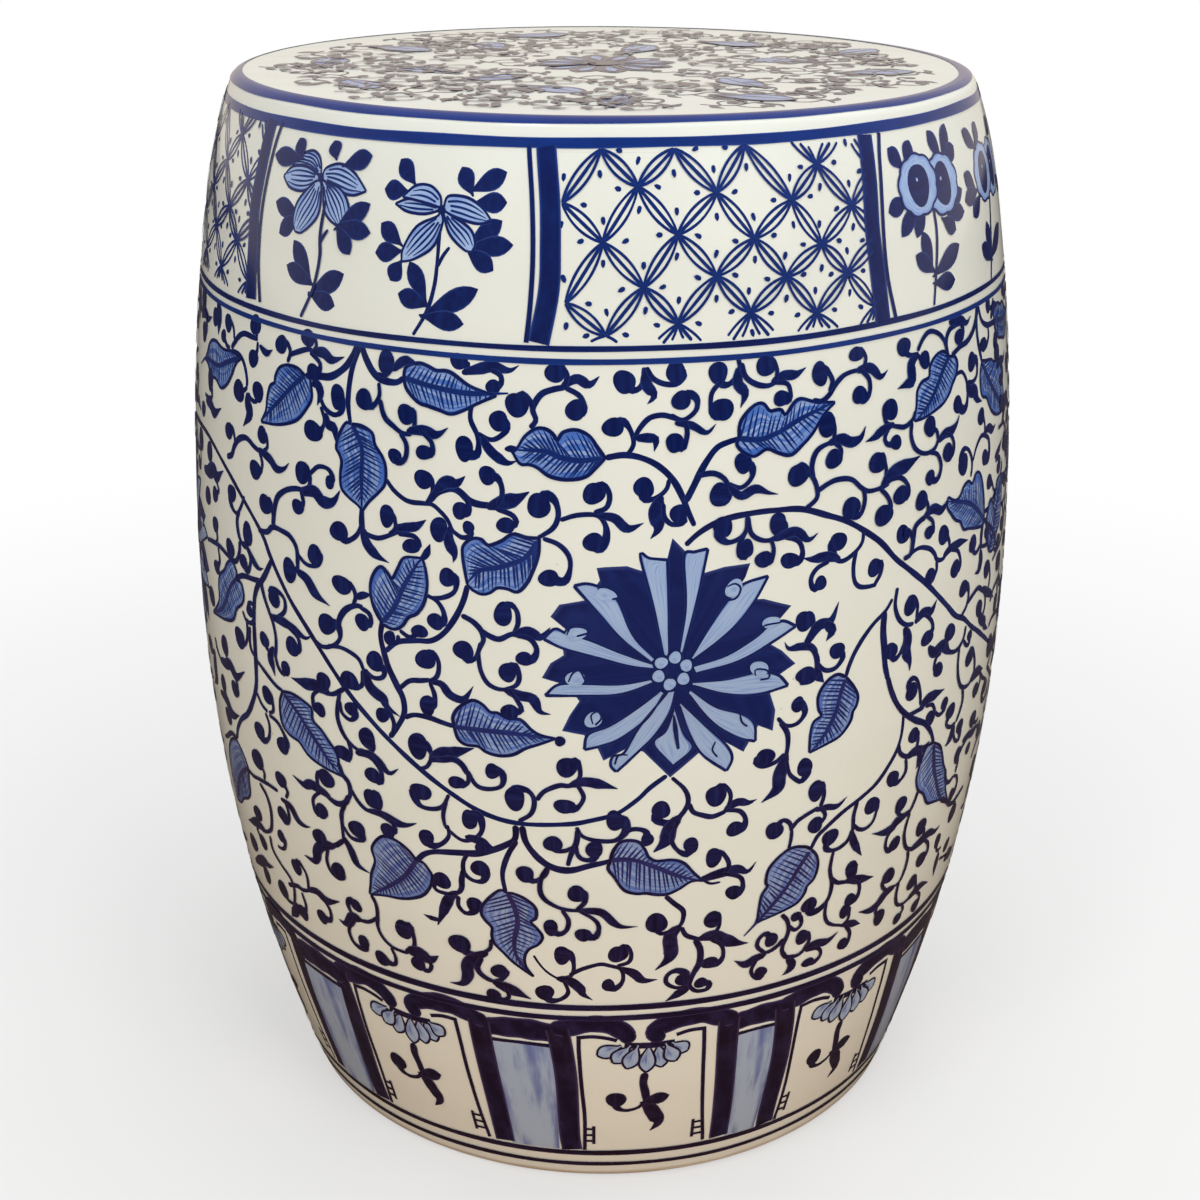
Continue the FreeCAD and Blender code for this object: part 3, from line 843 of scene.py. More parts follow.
ROUND_THE_LOTUS = """
hook 3.6 8.6 216,10.3 210,10.7 204,9.6 198,8.2 196,6.8 198,7.4 202
stem 2 10.8 204,11.4 200,12.7 198,13.8 197,15 198,15.6 199
flame 2.6 15.3 199,17 202,18.5 201,19.6 202
hook 4.2 15.6 199,16.1 204,15.8 208,14.8 210,14.2 206
hook 3.4 15.5 199,17.3 198,18.2 194,17.9 190,16.9 190
tall 2.9 21.8 236,23 232,24.6 232,25.6 236,25 240,24.5 240
stem 2 22.2 234,23.2 229,23.4 224,23.2 218
flame 4.2 23.3 220,22.5 211,22.3 205,20.2 200
wide 3.7 23 220,21.8 217,20 216,19.2 219,20.4 220
tall 3.6 23.3 217,23.8 211,24.6 208,25.6 206,26.4 209,26 212
hook 3.8 25.6 265,26.2 269,26.2 274,25.6 276,25 274
flame 2.4 27 260,26 263,24.5 264,23 264,22.4 267
flame 3.2 25.2 264,27 271,28.8 272,29.9 279
flame 3.2 27.8 272,29 268,28.2 264
stem 2.2 25.5 264,26.5 261,27 257,27 253
flame 3.4 27 255,27.1 251,28.1 247
hook 3.3 26.9 256,28.2 252,29.8 252,30.8 256,29.9 259
wide 3.5 27.2 252,26.4 249,25 249,25.4 252
tall 3.9 -10.3 274,-9.7 279,-9.9 284,-10.8 286,-11.5 282
stem 1.9 -16.6 280,-15.2 278,-14.2 275,-13.9 272,-14 270,-14.6 266
stem 1.9 -14.2 275,-13.2 273,-12 272,-10.8 274,-10 275
flame 2.8 -10.5 274,-8.5 276,-7 274,-5.9 278
wide 2.9 -10 274,-8.3 273,-7.5 269,-8 265,-9 265
hook 3.8 -14.2 270,-14.8 264,-15.8 262,-16.4 266
stem 1.7 -14.6 266,-14.3 259,-13.5 254,-12.3 252,-11 252
tall 3.5 -11.4 252,-10 254,-9.6 258,-10.2 262,-11 259
flame 3.4 -11.5 252,-9.5 250,-8 249,-7.2 244,-5.9 243
wide 3.1 -10.9 252,-9.9 248,-9.4 244,-10.8 243
tall 4.4 -10 196,-8.4 200,-8 206,-8.8 210,-10.3 210,-10.4 206
stem 1.9 -7.7 206,-6.8 210,-5 213,-3.8 213,-2.6 214
flame 3.5 -3.8 213,-2 215,0 214,2.1 212
hook 4 -3 214,-2.4 218,-2.8 224,-4 221
wide 3.5 -2.8 214,-2 208,-3 203,-4.3 204
tall 3.8 -2.9 195,-2.2 191,-0.5 189,1.8 189,3.1 193,2.9 198,1.8 198
stem 2 -2.7 194,-2.9 188,-3.6 182,-4 177
tall 2.6 2.8 192,4 194,5.5 193,5.8 189
flame 4.6 9.8 199,8.6 194,8.1 188,6.6 183
tall 3.2 9.4 196,8.8 189,9.4 184,10.8 181,11.3 185
hook 2 -5.2 232,-4.8 232
"""

ABOVE_THE_LOTUS = """
hook 3.7 16.3 376,16.5 371,15.3 367,14.2 367,13.8 371
hook 4 14.2 368,13 364,12.9 358,13.6 356,14.3 358
flame 3 16.5 373,16.2 367,17.1 363,16.5 358
stem 1.8 16.7 374,17.2 369,18.5 366,20 365,21.2 366
flame 2.8 20.5 366,22 368,23.8 368,25.2 370
hook 3.6 21 366,21.3 370,20.7 374,19.8 372
wide 3 20.8 366,22.6 365,23 361,22.6 359,21.8 360
hook 3.4 8 357,9.5 355,11 358,11.2 362,10.3 364,9.3 362
flame 2.2 8.5 354,10.5 353,12.3 350,13.5 353
hook 3.3 9.8 354,10 350,9.5 345,8.5 347
stem 1.8 10.9 334,12 335,13.3 335,14.4 333,15 330
tall 3.5 14.8 331,16.5 329,17.8 332,17.9 336,16.8 338
tall 4 14.8 331,15.2 327,14.6 324,13.9 327
flame 2.6 15 330,16.5 326,18.3 328,20 326,21.3 325
stem 1.8 26 358,27.2 357,28.4 359,29.2 362,30.5 365,32 366,33.6 366
tall 3.8 28.4 360,28.9 364,28 368,27.1 367
flame 2.8 32.4 366,34.8 366,36.4 362,37.7 364
wide 3 33.6 366,34.1 370,33.4 373,32.6 372
hook 3.3 33.2 366,34.5 362,34.5 357,33.5 355,32.9 357
hook 4.1 24.9 318,26.4 321,26.5 325,25.8 330,24.4 334,23.9 331
stem 1.9 26 328,25.8 334,26.5 339,28 341,29 341
flame 3.1 28 341,30 342,31.5 340,33 341,33.8 345
tall 4 28.8 341,29.1 346,28.6 350,28 348
hook 3.6 29 341,30 338,29.7 334,28.9 335
stem 1.8 26.6 324,28 326,29.5 327,31.5 326,33 322,34.2 320,36 320,37.6 321
hook 4.1 33.3 322,33.6 317,33 312,32 312,31.5 315
hook 4 36.2 320,37 324,37 328,36.4 332,35.6 330
wide 4.3 36 320,37.3 316,37.8 312,36.7 309
hook 3.7 17.3 318,17.2 313,16.3 310,14.8 309,13.8 312,14.3 315
tall 2.9 17.2 313,16.4 308,16.3 304,17 303,17.3 306
tall 3.6 17.4 318,17.9 311,19.8 308,21.7 310,21.9 313,21.2 314
flame 2.8 20.6 308,23.5 310,25.3 306,26.7 308
hook 3.2 20.4 308,20.7 304,20.3 300,19.4 301
wide 3.4 21.6 309,24 306,24.6 301,24 298,22.9 299
hook 3.6 33.5 305,33.2 300,31.5 296,30 295,29 298,28.8 302,29.7 303
flame 3.4 30 296,28 298,26 298,24.7 299
hook 2.7 28.4 296,26.6 294,25.8 290,26.3 286,27.2 288
stem 1.8 32.4 298,32 292,32.2 286,33 283,34.5 282,35.8 282
hook 3.5 35.4 282,36.4 286,36.5 290,35.4 289
hook 3.7 7.9 334,7.5 330,6.2 327,5 327,4.9 331
flame 4 7 328,6.3 322,6.6 316,5.7 312
hook 3.3 7.2 325,7.3 320,8.3 317,9.6 318,9 321
hook 4 4.9 374,4.7 368,3.7 366,2.6 369
flame 3 5.1 374,5.2 368,6.1 364,5.3 361
hook 3.7 5.2 374,6 370,7.3 368,8.6 368,9.4 371,8.7 372
wide 3.6 3 343,3.7 347,3.3 352,2.4 355,1.3 353
stem 1.7 3.7 348,4.3 352,5.5 356,7 357,8.3 356,9.7 354
flame 2.6 3.8 349,5.5 349,6.3 348,6.1 344
hook 3.6 -4.8 319,-2.8 321,-0.5 321,0.5 317,0.5 312,-0.2 309,-0.9 311
flame 3 -0.4 321,1.5 320,3 316,4.9 318
hook 3.9 -0.9 322,0.6 324,0.9 329,0 332,-0.9 329
hook 4.3 -7.4 312,-5.6 316,-5 321,-5.4 326,-6.5 328,-7.3 324
wide 3.4 -6.8 312,-5 310,-3.8 306,-3.6 301,-4.3 296,-6.1 297
stem 2 -8.4 352,-7.7 355,-8.1 359,-7.2 364,-5.8 366,-4.2 367
hook 4.2 -7.9 356,-8.3 361,-9.3 364,-10 360
flame 2.9 -4.8 367,-3 370,-1.5 368,-0.3 371
hook 3.6 -4.4 367,-4.1 371,-4.8 374,-5.5 372
hook 3.6 -4.4 367,-2.6 364,-2.1 360,-2.6 358,-3.1 359
"""

BELOW_THE_LOTUS = """
flame 3.2 12.5 168,15 170,17.5 171,19 169,20.1 173
tall 3.7 16 170,16.4 174,15.6 179,14.7 180,14.3 178
hook 3.3 15.6 170,18 167,18.5 162,17.9 159,17.3 160
stem 1 12.8 169,14 166,15.4 166
stem 1.9 8.3 162,9.5 158,10.7 154,10.7 149,10.2 146
flame 4.4 10.5 147,9.2 142,9.4 134,9 130,7.4 125
hook 4.5 10 146,8.8 144,7.7 144,7.3 149
stem 1.9 10.6 146,11.2 142,12.3 140,13.2 139
flame 4.4 13 139,14.8 140,16.5 137,18.5 134,20.1 133
tall 3.7 13.8 140,15.3 142,15.7 146,15.2 150,14.7 148
wide 3.3 14.8 138,16.3 134,16.6 128,15.8 125,14.8 126
stem 2.4 12.5 139,13.3 134,13.4 127,12.6 121,12.2 116
flame 3.2 12.3 117,11.7 114,10 110,9 108
hook 3.1 12.1 115,10.3 115,9 118,9.1 122,10.3 124,11.6 122,11.2 119
hook 2.7 12.4 119,12.3 115,13.2 112,14.7 112,15 115,13.8 116
stem 1.4 24.6 176,24.8 180,24.8 184,24.5 187
hook 3.8 24.8 184,24.4 188,23.3 190,22.3 186
stem 1.9 24.7 185,25.5 188,26.8 190,28.6 192
flame 2.4 28 191,29.8 191,31.5 190,33 193
hook 3.5 28.6 192,29.5 189,29.6 186,28.3 184
tall 3.9 28.8 192,29.2 197,28.8 202,27.9 200
stem 1.7 34.9 189,34.5 183,34.6 178,34.6 174
flame 2.8 34.3 176,35 170,36.2 164,36.9 161
hook 3.8 34.6 176,33.8 171,32 169,30.4 171,30.9 176
stem 1.7 34.7 178,35.7 175,37 174,38.2 176,38.6 180
hook 3.6 31.7 169,31.5 160,32.2 152,31.9 145,30.6 141,29.1 141,28.8 145
stem 1.7 31.8 156,33 152,34 151,35.2 150
flame 3.2 34.4 151,36 150,38.2 148,40 147
tall 3.6 35.2 150,36.2 153,35.9 157,35.3 156
hook 3.1 35.8 150,37.2 147,37.5 142,36.9 139,36 140
stem 1.5 31.7 144,31.7 138,32.3 133,33.5 130,35 128,36.2 126
flame 3 35.2 128,36.6 127,39 124
tall 3.1 35.5 128,36.3 130,36 135,35.3 135
hook 2.9 35.9 127,37.1 122,37.2 118,36.6 115,36.1 117
stem 1.9 24.6 144,25.6 140,26 135,25.8 131,25.4 127,25.6 123,26.5 120
flame 3.4 26.4 120,27.4 116,27.1 113,26.1 111
hook 2.4 26 137,27 134,27.9 136,27.6 140,26.9 141
stem 1.8 25.4 131,24.6 128,23.4 126,22.4 126
tall 3.2 22.7 126,21.5 130,21.6 134,22.6 136,23.5 132
flame 3.2 23 125,21.5 124,20 122,18.3 125
hook 2.8 21.6 123,21 118,21.6 114,22.6 113,22.5 116
stem 2 25.6 124,26.1 121,27.1 120,28.3 120,29.2 122
tall 3.4 29 122,29.7 126,29.3 130,28.4 129
flame 3 28.8 122,31 123,33 122,34.8 125
wide 2.6 29.3 121,31.5 120,32.2 116,31.3 113,30.1 114
hook 3.5 -3.2 186,-4.3 184,-5.4 184,-5.8 187
tall 3.5 -3 188,-2.7 182,-1.7 180,-0.7 181,-0.7 185
hook 3.6 -6.4 176,-6.9 172,-8.3 169,-9.4 172
stem 1.8 -6.5 176,-7.4 170,-7.5 164,-6.8 160,-5.2 157,-3.8 156,-2.5 156
flame 2.6 -3.3 156,-1.5 156,0.3 155,1.8 150,3 148,4.9 148
hook 3.7 -3 156,-1.9 160,-1.9 164,-2.9 164
hook 3.2 -2.7 156,-0.8 152,-0.1 148,-0.6 143,-2.1 144
tall 3.3 -4.8 156,-4 151,-4.3 146,-5.4 144,-6.3 147
hook 4.6 -14.3 138,-14.6 133,-16 130,-17.8 129,-18.8 133
flame 4.2 -14.9 131,-17 127,-18 122,-18.1 117,-19 112,-20.9 111
stem 2.2 -15.8 128,-16.6 122,-15.8 118,-14.4 116
hook 3.5 -14.8 116,-13.2 118,-12.5 122,-13.5 122
flame 4 -14.6 116,-12.8 114,-11.3 112,-9.3 109
hook 3 -12.8 114,-12.4 109,-13.4 107,-14.6 109
stem 1 -8.7 132,-8 128,-7 124,-5.6 121,-4.8 121
tall 3.9 -5.2 121,-3.7 123,-3.4 129,-4 134,-4.9 133
stem 1.8 -4 123,-2.5 126,-1 128,0.3 129,1.5 128,2.8 127
hook 4 2.3 128,3.9 130,4.1 135,3.3 138,2.4 134
flame 3 2.6 127,4.5 124,5.8 120,7.8 120
tall 2.9 1.5 128,2.9 126,3.1 120,2 116,1.2 118
flame 3.4 -5.8 121,-4 120,-2.6 116,-2.2 113,-0.9 110
hook 3.9 -4.8 120,-4.2 114,-5.2 110,-6.7 109,-7.4 113
"""

LEFT_OF_THE_LOTUS = """
tall 3.6 -19.3 188,-17.4 184,-15.6 186,-14.7 190,-14.8 195,-15.5 197,-16.3 194
flame 2.8 -17 186,-15 185,-13.8 183,-13 182
drop 2.7 -14.8 182
tall 3.5 -19.3 190,-19.1 186,-19.5 183,-20.5 180,-21.7 179,-22.3 182
hook 3.7 -16.8 178,-17.4 174,-17.4 169,-16.4 166,-15 166,-14.5 170,-15.2 172
stem 2.1 -17.5 170,-17.8 165,-17.9 161,-18.5 158
flame 3.6 -18.4 159,-19.5 156,-20.2 152,-21 146,-21.8 140
flame 1.8 -21.2 143,-22.5 143,-23.8 144
hook 3.8 -18.6 158,-20 157,-21.6 158,-21.6 162,-20.6 163
hook 3.4 -18.4 157,-18.5 152,-17.5 149,-16.3 151,-16.3 154
flame 2.5 -20.9 251,-19.3 251,-18.2 247,-16.5 246,-15.2 252
stem 1.9 -24.9 246,-23.5 250,-22 251,-20.6 252
hook 3.9 -21 251,-19.8 254,-19.6 260,-20.5 263,-21.3 260
tall 3.6 -20.8 251,-20.2 246,-20.4 242,-21.2 241
wide 2.9 -24.7 270,-23.3 268,-22 271
tall 2.7 -24.9 268,-25 265,-26 264,-26.1 266
hook 3.2 -21 286,-19.6 284,-18.8 280,-18.9 276,-19.9 276
hook 3.9 -29.6 250,-28.6 248,-27.3 249,-27 252,-28.3 255
wide 4 -30.2 250,-30.3 244,-31.3 242,-32.3 244
flame 3.5 -29.7 251,-29.4 245,-28.5 242,-27.3 240,-26.8 237,-25 234
stem 1.7 -35.6 256,-33.5 257,-31.8 256,-30.6 254,-30 250
hook 4.3 -38 257,-36.4 255,-34.6 257,-33.5 261,-33.9 266,-35.6 265
stem 2.3 -33.6 264,-33.6 268,-32.6 273,-31 276,-29.8 276
hook 3.3 -30.4 276,-28.9 274,-28.8 270,-30 270
wide 4.1 -31.3 276,-30.9 280,-31.6 284,-33 283
flame 2.4 -31 279,-29.8 281,-28.4 282
hook 3 -26.2 225,-25.9 231,-26.7 235,-27.5 233
tall 4.7 -22.6 213,-21.5 215,-20.9 220,-21.6 224,-22.7 223
flame 3.9 -21.2 218,-19.5 222,-18 223,-15.3 226
stem 2.4 -21.2 218,-19.5 219,-18 220,-16.9 218,-16.2 214
tall 3 -16.3 216,-15.2 210,-13.6 209,-12 211,-11.8 216,-12.8 218,-13.1 217
wide 3 -16.2 215,-16.2 211,-16.9 209,-17.7 210
wide 3.9 -18.8 204,-19.8 198,-21.5 196,-23 197,-23.6 202,-22.6 203
stem 1.6 -19.2 201,-19.7 195,-19.6 190,-19.2 188
stem 1.8 -33.9 238,-34.4 231,-34.5 226,-33.8 220,-32.5 216,-31 214
tall 4.1 -31.4 215,-29.8 215,-29.1 218,-30 221
flame 3 -32 213,-30 214,-28.5 212,-27 208,-25.6 211
wide 3.5 -29.8 214,-28.2 208,-28.4 203,-29.5 205
wide 3.6 -33.1 218,-32.7 213,-33.2 209,-34.1 211
hook 3 -34 234,-33.7 229,-32.4 227,-31.5 230,-32.2 232
stem 1.9 -33.1 240,-34 238,-35 236,-36.5 235
flame 3.8 -35.6 236,-38 237,-40 236,-42.6 236
hook 3.7 -36.8 236,-35.9 238,-36.6 240
hook 3 -37.3 236,-38.6 232,-38.4 227,-37.5 227
stem 2 -35 206,-34.4 201,-33.5 198,-33.4 193,-34.2 188
stem 1.7 -33.3 196,-32.3 191,-31 188,-29.6 188
hook 4 -30.4 188,-29 190,-28.6 194,-29.2 197,-29.9 194
flame 3 -30.8 188,-28.5 188,-26.5 186,-25 186,-23.5 188
hook 3.3 -29 188,-27.2 186,-26.8 182,-27.9 181
stem 2.3 -33.7 192,-34.4 188,-36 186,-38 188
flame 3.4 -37 188,-40.3 190,-42 188,-44.3 190
hook 3.5 -38.6 189,-40.3 184,-40.5 180,-39.9 177,-39 179
hook 4.1 -38.6 188,-39.2 193,-38.8 197,-37.4 196
stem 1.9 -34.4 188,-35.3 182,-35.4 177,-35.5 169
hook 4 -35.2 176,-34.2 172,-32.6 172,-32 174,-32.9 177
flame 2.9 -35.6 171,-34.5 166,-33.8 160,-32.8 158,-31.5 157
stem 2 -35.5 169,-37 165,-38.5 163
flame 4.2 -37.3 164,-39.5 162,-41 158,-42 151,-44.3 151
hook 4 -38.3 164,-39.4 163,-40.2 165
hook 3.8 -38.8 161,-39.4 155,-39 150,-37.8 148,-36.7 150,-37.4 152
stem 1.7 -31.9 146,-31.3 142,-31.3 137,-31.6 130,-31 125,-29.8 122,-28.5 121,-27 121
hook 3 -31.4 135,-33 131,-34.8 130,-36.2 132,-36.6 136,-35.9 139,-35 137
flame 3.8 -34.3 130,-36 130,-37 126,-38 124,-39.1 125
tall 3.4 -36 128,-37.3 122,-37 116,-35.8 114,-34.6 115,-34.8 118
tall 4.2 -27.5 121,-26.1 124,-25.7 130,-26.3 136,-27.3 133
flame 4.6 -27.4 122,-25.5 123,-23.6 121,-22.2 124
hook 3.5 -24.6 122,-23.5 118,-24.3 114,-25.6 117
hook 3.7 -29.8 121,-29.3 116,-29.8 112,-31.8 113
"""

UPPER_LEFT = """
flame 2.6 -25.9 368,-24.4 372,-23.2 372,-22.2 371
tall 3.7 -28 366,-26.8 366,-26.1 369,-26.8 371
hook 3.7 -27.7 363,-27.6 358,-28.6 354,-29.8 356
stem 1.9 -27.5 357,-26.8 351,-25.5 348,-24.3 346,-23 346
hook 3.6 -23.7 346,-22.7 349,-22.9 354,-23.8 353
flame 2.9 -23.7 347,-21.5 348,-19.8 347,-18.3 350
wide 3 -22 348,-20.4 344,-20.4 340,-21.3 340
hook 2.8 -24.6 346,-23.7 342,-23.8 337,-24.7 335,-25.3 337
wide 3.1 -16.5 370,-16 373,-17.2 374
flame 3 -16.8 370,-14.5 372,-13 373,-11 372,-9.8 374
wide 2.6 -13.3 372,-12 370,-12 367,-12.9 366
tall 3.9 -15.4 360,-15.6 354,-14.7 348,-14.6 342,-15.5 341,-16.3 343
hook 3.5 -14.7 349,-12.9 347,-11.4 350,-11.3 353,-12.2 354
flame 3.1 -14.2 348,-13.4 344,-12.3 341,-11 339,-9.9 340
flame 2.2 -11.4 344,-10.3 344,-9.8 340
stem 1.6 -26.5 328,-25.3 324,-23.5 321,-21.5 321,-20.3 321,-19.3 319,-18.3 316,-17.6 312,-16.6 310
hook 2.3 -17.6 312,-16.5 310,-15.4 311,-15.7 314
hook 3.6 -21 321,-20.2 326,-20.5 330,-21.4 330
stem 2.6 -20.7 322,-19.6 326,-18 328,-16.8 327,-15.6 324,-14.3 323,-12.6 323
flame 3.4 -20 326,-18.5 330,-17.2 330,-16.1 333
hook 3.1 -16.3 326,-15.6 322,-15.8 319,-16.7 320
flame 4.1 -13.5 322,-12 324,-10 326,-8.4 329
hook 3.3 -12.2 323,-11.6 328,-12.1 333,-13.4 334
wide 3.1 -12.4 322,-10.4 320,-10 317,-11.2 316
tall 3.9 -17.9 314,-18.4 310,-19.4 312
flame 3.3 -18 313,-18.1 308,-17.4 303,-17.6 300
hook 3.4 -20.5 285,-18.8 286,-17.4 289,-17.3 294,-18.3 294
flame 2.2 -21.8 299,-21 302,-20.5 306
stem 2.2 -29.9 315,-29.9 309,-29.6 304
flame 3.1 -29.8 308,-29.2 302,-27.8 298,-26 296
wide 4 -29.9 309,-30.7 304,-32.3 301,-33.4 304
stem 1.8 -29.6 306,-28.5 305,-27.3 305,-25.8 307,-24.6 309
tall 3.6 -26 307,-25.1 310,-25.4 314,-26.3 314
flame 3.1 -25.2 310,-23.5 311,-22.3 312,-21 315
wide 3.1 -24.8 308,-22.6 308,-22 305,-23 304
tall 3.9 -37 355,-36 350,-34.4 348,-33.2 350,-33.3 354,-33.9 355
flame 2.8 -38.3 357,-37.4 358,-36.7 355,-37.2 350
wide 4.3 -36.6 350,-35.9 345,-36.5 341,-37.8 340
flame 3.2 -35.8 348,-35.3 344,-34.3 343,-34 338
hook 3.5 -42.9 363,-42.4 367,-43.1 370,-44.3 369
stem 1.8 -42.6 366,-41 368,-39 370,-37.6 369
wide 3.4 -38.2 370,-37.7 372,-38.3 375,-39.3 374
flame 3.1 -38.6 369,-36.5 370,-35 368,-33 370
wide 3.3 -38.8 369,-37 366,-37.1 363,-38 362
tall 2.3 -38.3 323,-36.8 327,-35.1 327,-34.4 324,-34.9 322
hook 4.2 -39.9 316,-38.4 318,-38.3 322,-39.5 323
stem 2.2 -45.2 297,-44.9 304,-44.2 310,-42.5 314,-40.5 316,-39 316
flame 4 -39.9 315,-37.5 317,-36 314,-34.3 315,-33.2 320
wide 3.1 -39.8 316,-39.3 311,-40.3 309
hook 4 -45.2 297,-45.2 302,-45.8 307,-46.8 305
stem 2.1 -48.5 293,-46.5 294,-45.3 297,-43.5 297,-41.8 296,-40.6 292,-40.4 285
hook 3.8 -40.5 290,-38.8 287,-37 288,-36.6 292,-37.4 292
tall 4.3 -40.6 288,-40.5 284,-42 282
flame 3.3 -40.7 283,-38.8 281,-37.3 276,-35 273
hook 3.5 -46.5 259,-44.8 260,-43.2 264,-43.2 269,-44.5 271,-46 270,-45.3 267
flame 3.1 -46.5 259,-43.5 259,-41.5 258,-39.5 256,-38.2 258
hook 3.9 -42.8 258,-40.8 255,-40.7 250,-42 250
stem 1.8 -45.6 283,-46.6 278,-48 272,-47.5 266,-46.6 261,-45.8 257,-45.3 251,-45.4 246,-45.7 241
tall 2.9 -45.6 242,-45.2 238,-44.2 236,-43.6 239
flame 3.1 -45.9 246,-46.8 241,-46.3 236,-46 233
hook 3.9 -48.3 213,-46.5 212,-45.2 208,-44.7 204,-45.7 202
stem 1.7 -50.5 236,-48 232,-46 229,-44.4 228
stem 2 -50.5 127,-48 130,-46.5 130,-44.8 132
flame 3.3 -45.2 132,-43 134,-41 132,-38.2 135
hook 3.6 -45 132,-44.7 138,-45 142,-46.2 145,-47 141
hook 3.4 -42.4 133,-40.8 128,-41 122,-42.9 121
tall 3.6 -47 128,-46.6 121,-47.8 116
flame 2.8 -48 174,-45.8 173,-44.5 168,-43 167,-41.8 168
flame 2.9 -48.5 326,-46 324,-44.5 321,-43 322,-42 325
flame 2.2 -49 366,-47.3 364,-46 366
"""

# Each leaf takes three lines: its two edges and its rib, from the base to the tip.
LEAVES = """
-11.8 162,-12.7 163,-14.1 159,-15.2 154,-15.4 150,-14.9 147,-14.1 144,-14.2 140,-13.9 136,-12.8 132,
-11.3 127,-8.8 121
-11.8 162,-11 162,-9.5 160,-8.2 156,-8.2 151,-8.9 149,-8.1 146,-7.4 142,-8 138,-9.3 135,-9.9 131,
-9.8 126,-8.8 121
-11.8 162,-11 156,-10.6 148,-11.2 138,-10.9 130,-9.3 122
1.3 180,1.6 184,2.4 188,3.5 189,4.8 188,5.6 184,6 181,7 179,9 179,10.5 177,11.8 172,13 168
1.3 180,1 176,1.8 172,3 166,4.5 164,5.8 164,7.3 163,8.6 163,10 165,11.5 168,13 168
1.3 180,4 180,7 176,10 171,12.8 168
-23.9 170,-25 174,-26.5 177,-28.3 178,-29.5 176,-30.5 172,-30.8 169,-30.5 165,-30.7 162,-31.4 157,
-31.8 151,-32.2 146
-23.9 170,-23.1 170,-22.3 167,-21.9 164,-22.3 159,-23.4 154,-25 151,-27 149,-29.5 148,-32.2 146
-24 170,-26 161,-28.5 154,-32 146
28 173,27 175,25 176,23.2 173,21.9 168,21.7 162,22 160,21.3 156,21.1 150,21 143
28 173,29 169,29.4 164,29 158,28 155,27.8 152,26.8 148,25 146,22.5 144,21 143
27.8 172,26.5 166,25 158,23 150,19.3 137
31.4 247,30 249,28.5 247,27.4 242,27.5 236,28 233,26.9 231,26.5 226,26.5 218
31.4 247,32.7 242,33.5 237,33.3 233,32.8 231,32.5 227,31 222,29 220,26.5 218
31.3 246,30.7 240,30 232,28.5 224,26.6 218
16.3 347,16.5 353,18 358,19.3 359,20.2 356,20.8 356,21.7 356,22.3 354,23.5 358,24.5 359,26.5 357,
29.2 356
16.3 347,16 345,16.8 342,18.2 340,19.5 342,20.2 342,21.5 340,23 339,24.5 342,26 346,27.5 352,29.2 356
16.3 347,19 346,21.5 348,24.5 352,28.9 356
-17.8 234,-17.9 238,-17.2 242,-15.5 246,-14.2 245,-13.2 242,-12.3 242,-11 240,-9.5 240,-8.2 236,-7 234,
-5.3 233
-17.8 234,-17.3 229,-16.3 227,-14.8 227,-13.8 225,-12.2 224,-10.5 225,-9 228,-7.5 230,-5.3 233
-17.8 234,-14 234,-10 234,-6 233
0.4 342,-0.5 346,-1.5 350,-3 352,-4.5 351,-5.2 348,-5.6 350,-6.5 352,-7.7 352,-9 349,-9.8 345,-10.4 343
0.4 342,-0.8 338,-2 335,-4 334,-6 335,-7.5 338,-8.5 339,-9.5 339,-10.4 343
0.4 342,-2.5 341,-4.8 342,-6.5 344,-9.8 344
-7.2 312,-8.7 312,-10.3 313,-11.7 310,-13.3 308,-14 310,-15.2 310,-16.3 307,-16.4 303,-16.1 297,
-15.8 292
-7.2 312,-7.3 306,-8 299,-8.8 294,-9.8 291,-11 292,-12.2 292,-13 290,-14 289,-15 290,-15.8 292
-7.3 311,-9 304,-12 300,-14.3 298,-15.8 293
-24.3 366,-24 370,-22.3 372,-20.9 371,-20 370,-18.3 370,-16 366,-14 364,-12.4 363
-24.3 366,-23.8 362,-22.3 358,-20.9 357,-19.5 356,-18 355,-16.3 357,-14.5 360,-12.4 363
-24.2 366,-20 364,-16 363,-11 364
-31.6 346,-32.5 346,-33.5 341,-33.9 336,-33.4 334,-33 331,-33.2 326,-33 321,-31.8 318,-30.5 316,
-29.8 314
-31.6 346,-30 346,-28.5 344,-28.1 340,-27 336,-26.5 332,-26.6 326,-27.6 322,-28.9 318,-29.8 314
-31.5 346,-30 338,-30 328,-29.9 315
-27 271,-28.2 277,-28.7 284,-28.3 290,-27.2 294,-26.2 292,-25.6 290,-24.9 294,-24 299,-22.5 300,
-21.5 300
-27 271,-25.5 270,-24.3 272,-23.4 276,-22.3 278,-21.3 283,-20.9 290,-21.1 296,-21.5 300
-27 272,-25.3 279,-24 288,-22.3 297,-21.5 300
-39.5 360,-41 362,-43 362,-44.5 360,-45.3 356,-45.3 354,-46.3 352,-46.8 347,-47 342,-48 337
-39.5 360,-38.7 360,-38.3 356,-38.2 352,-39 348,-40.5 343,-42.5 340,-45 338,-48 337
-39.6 360,-42 354,-44.5 347,-47.8 338
-44.5 228,-42.5 229,-40.5 228,-39 226,-38.9 221,-37.5 218,-36.3 214,-35.1 210,-34.8 204,-34.4 200
-44.5 228,-45.3 223,-45.5 217,-45.2 212,-43.8 209,-42 208,-40.5 204,-38.8 202,-37.2 201,-34.4 200
-44.3 227,-42 222,-39 213,-36.5 205,-34.6 200
"""

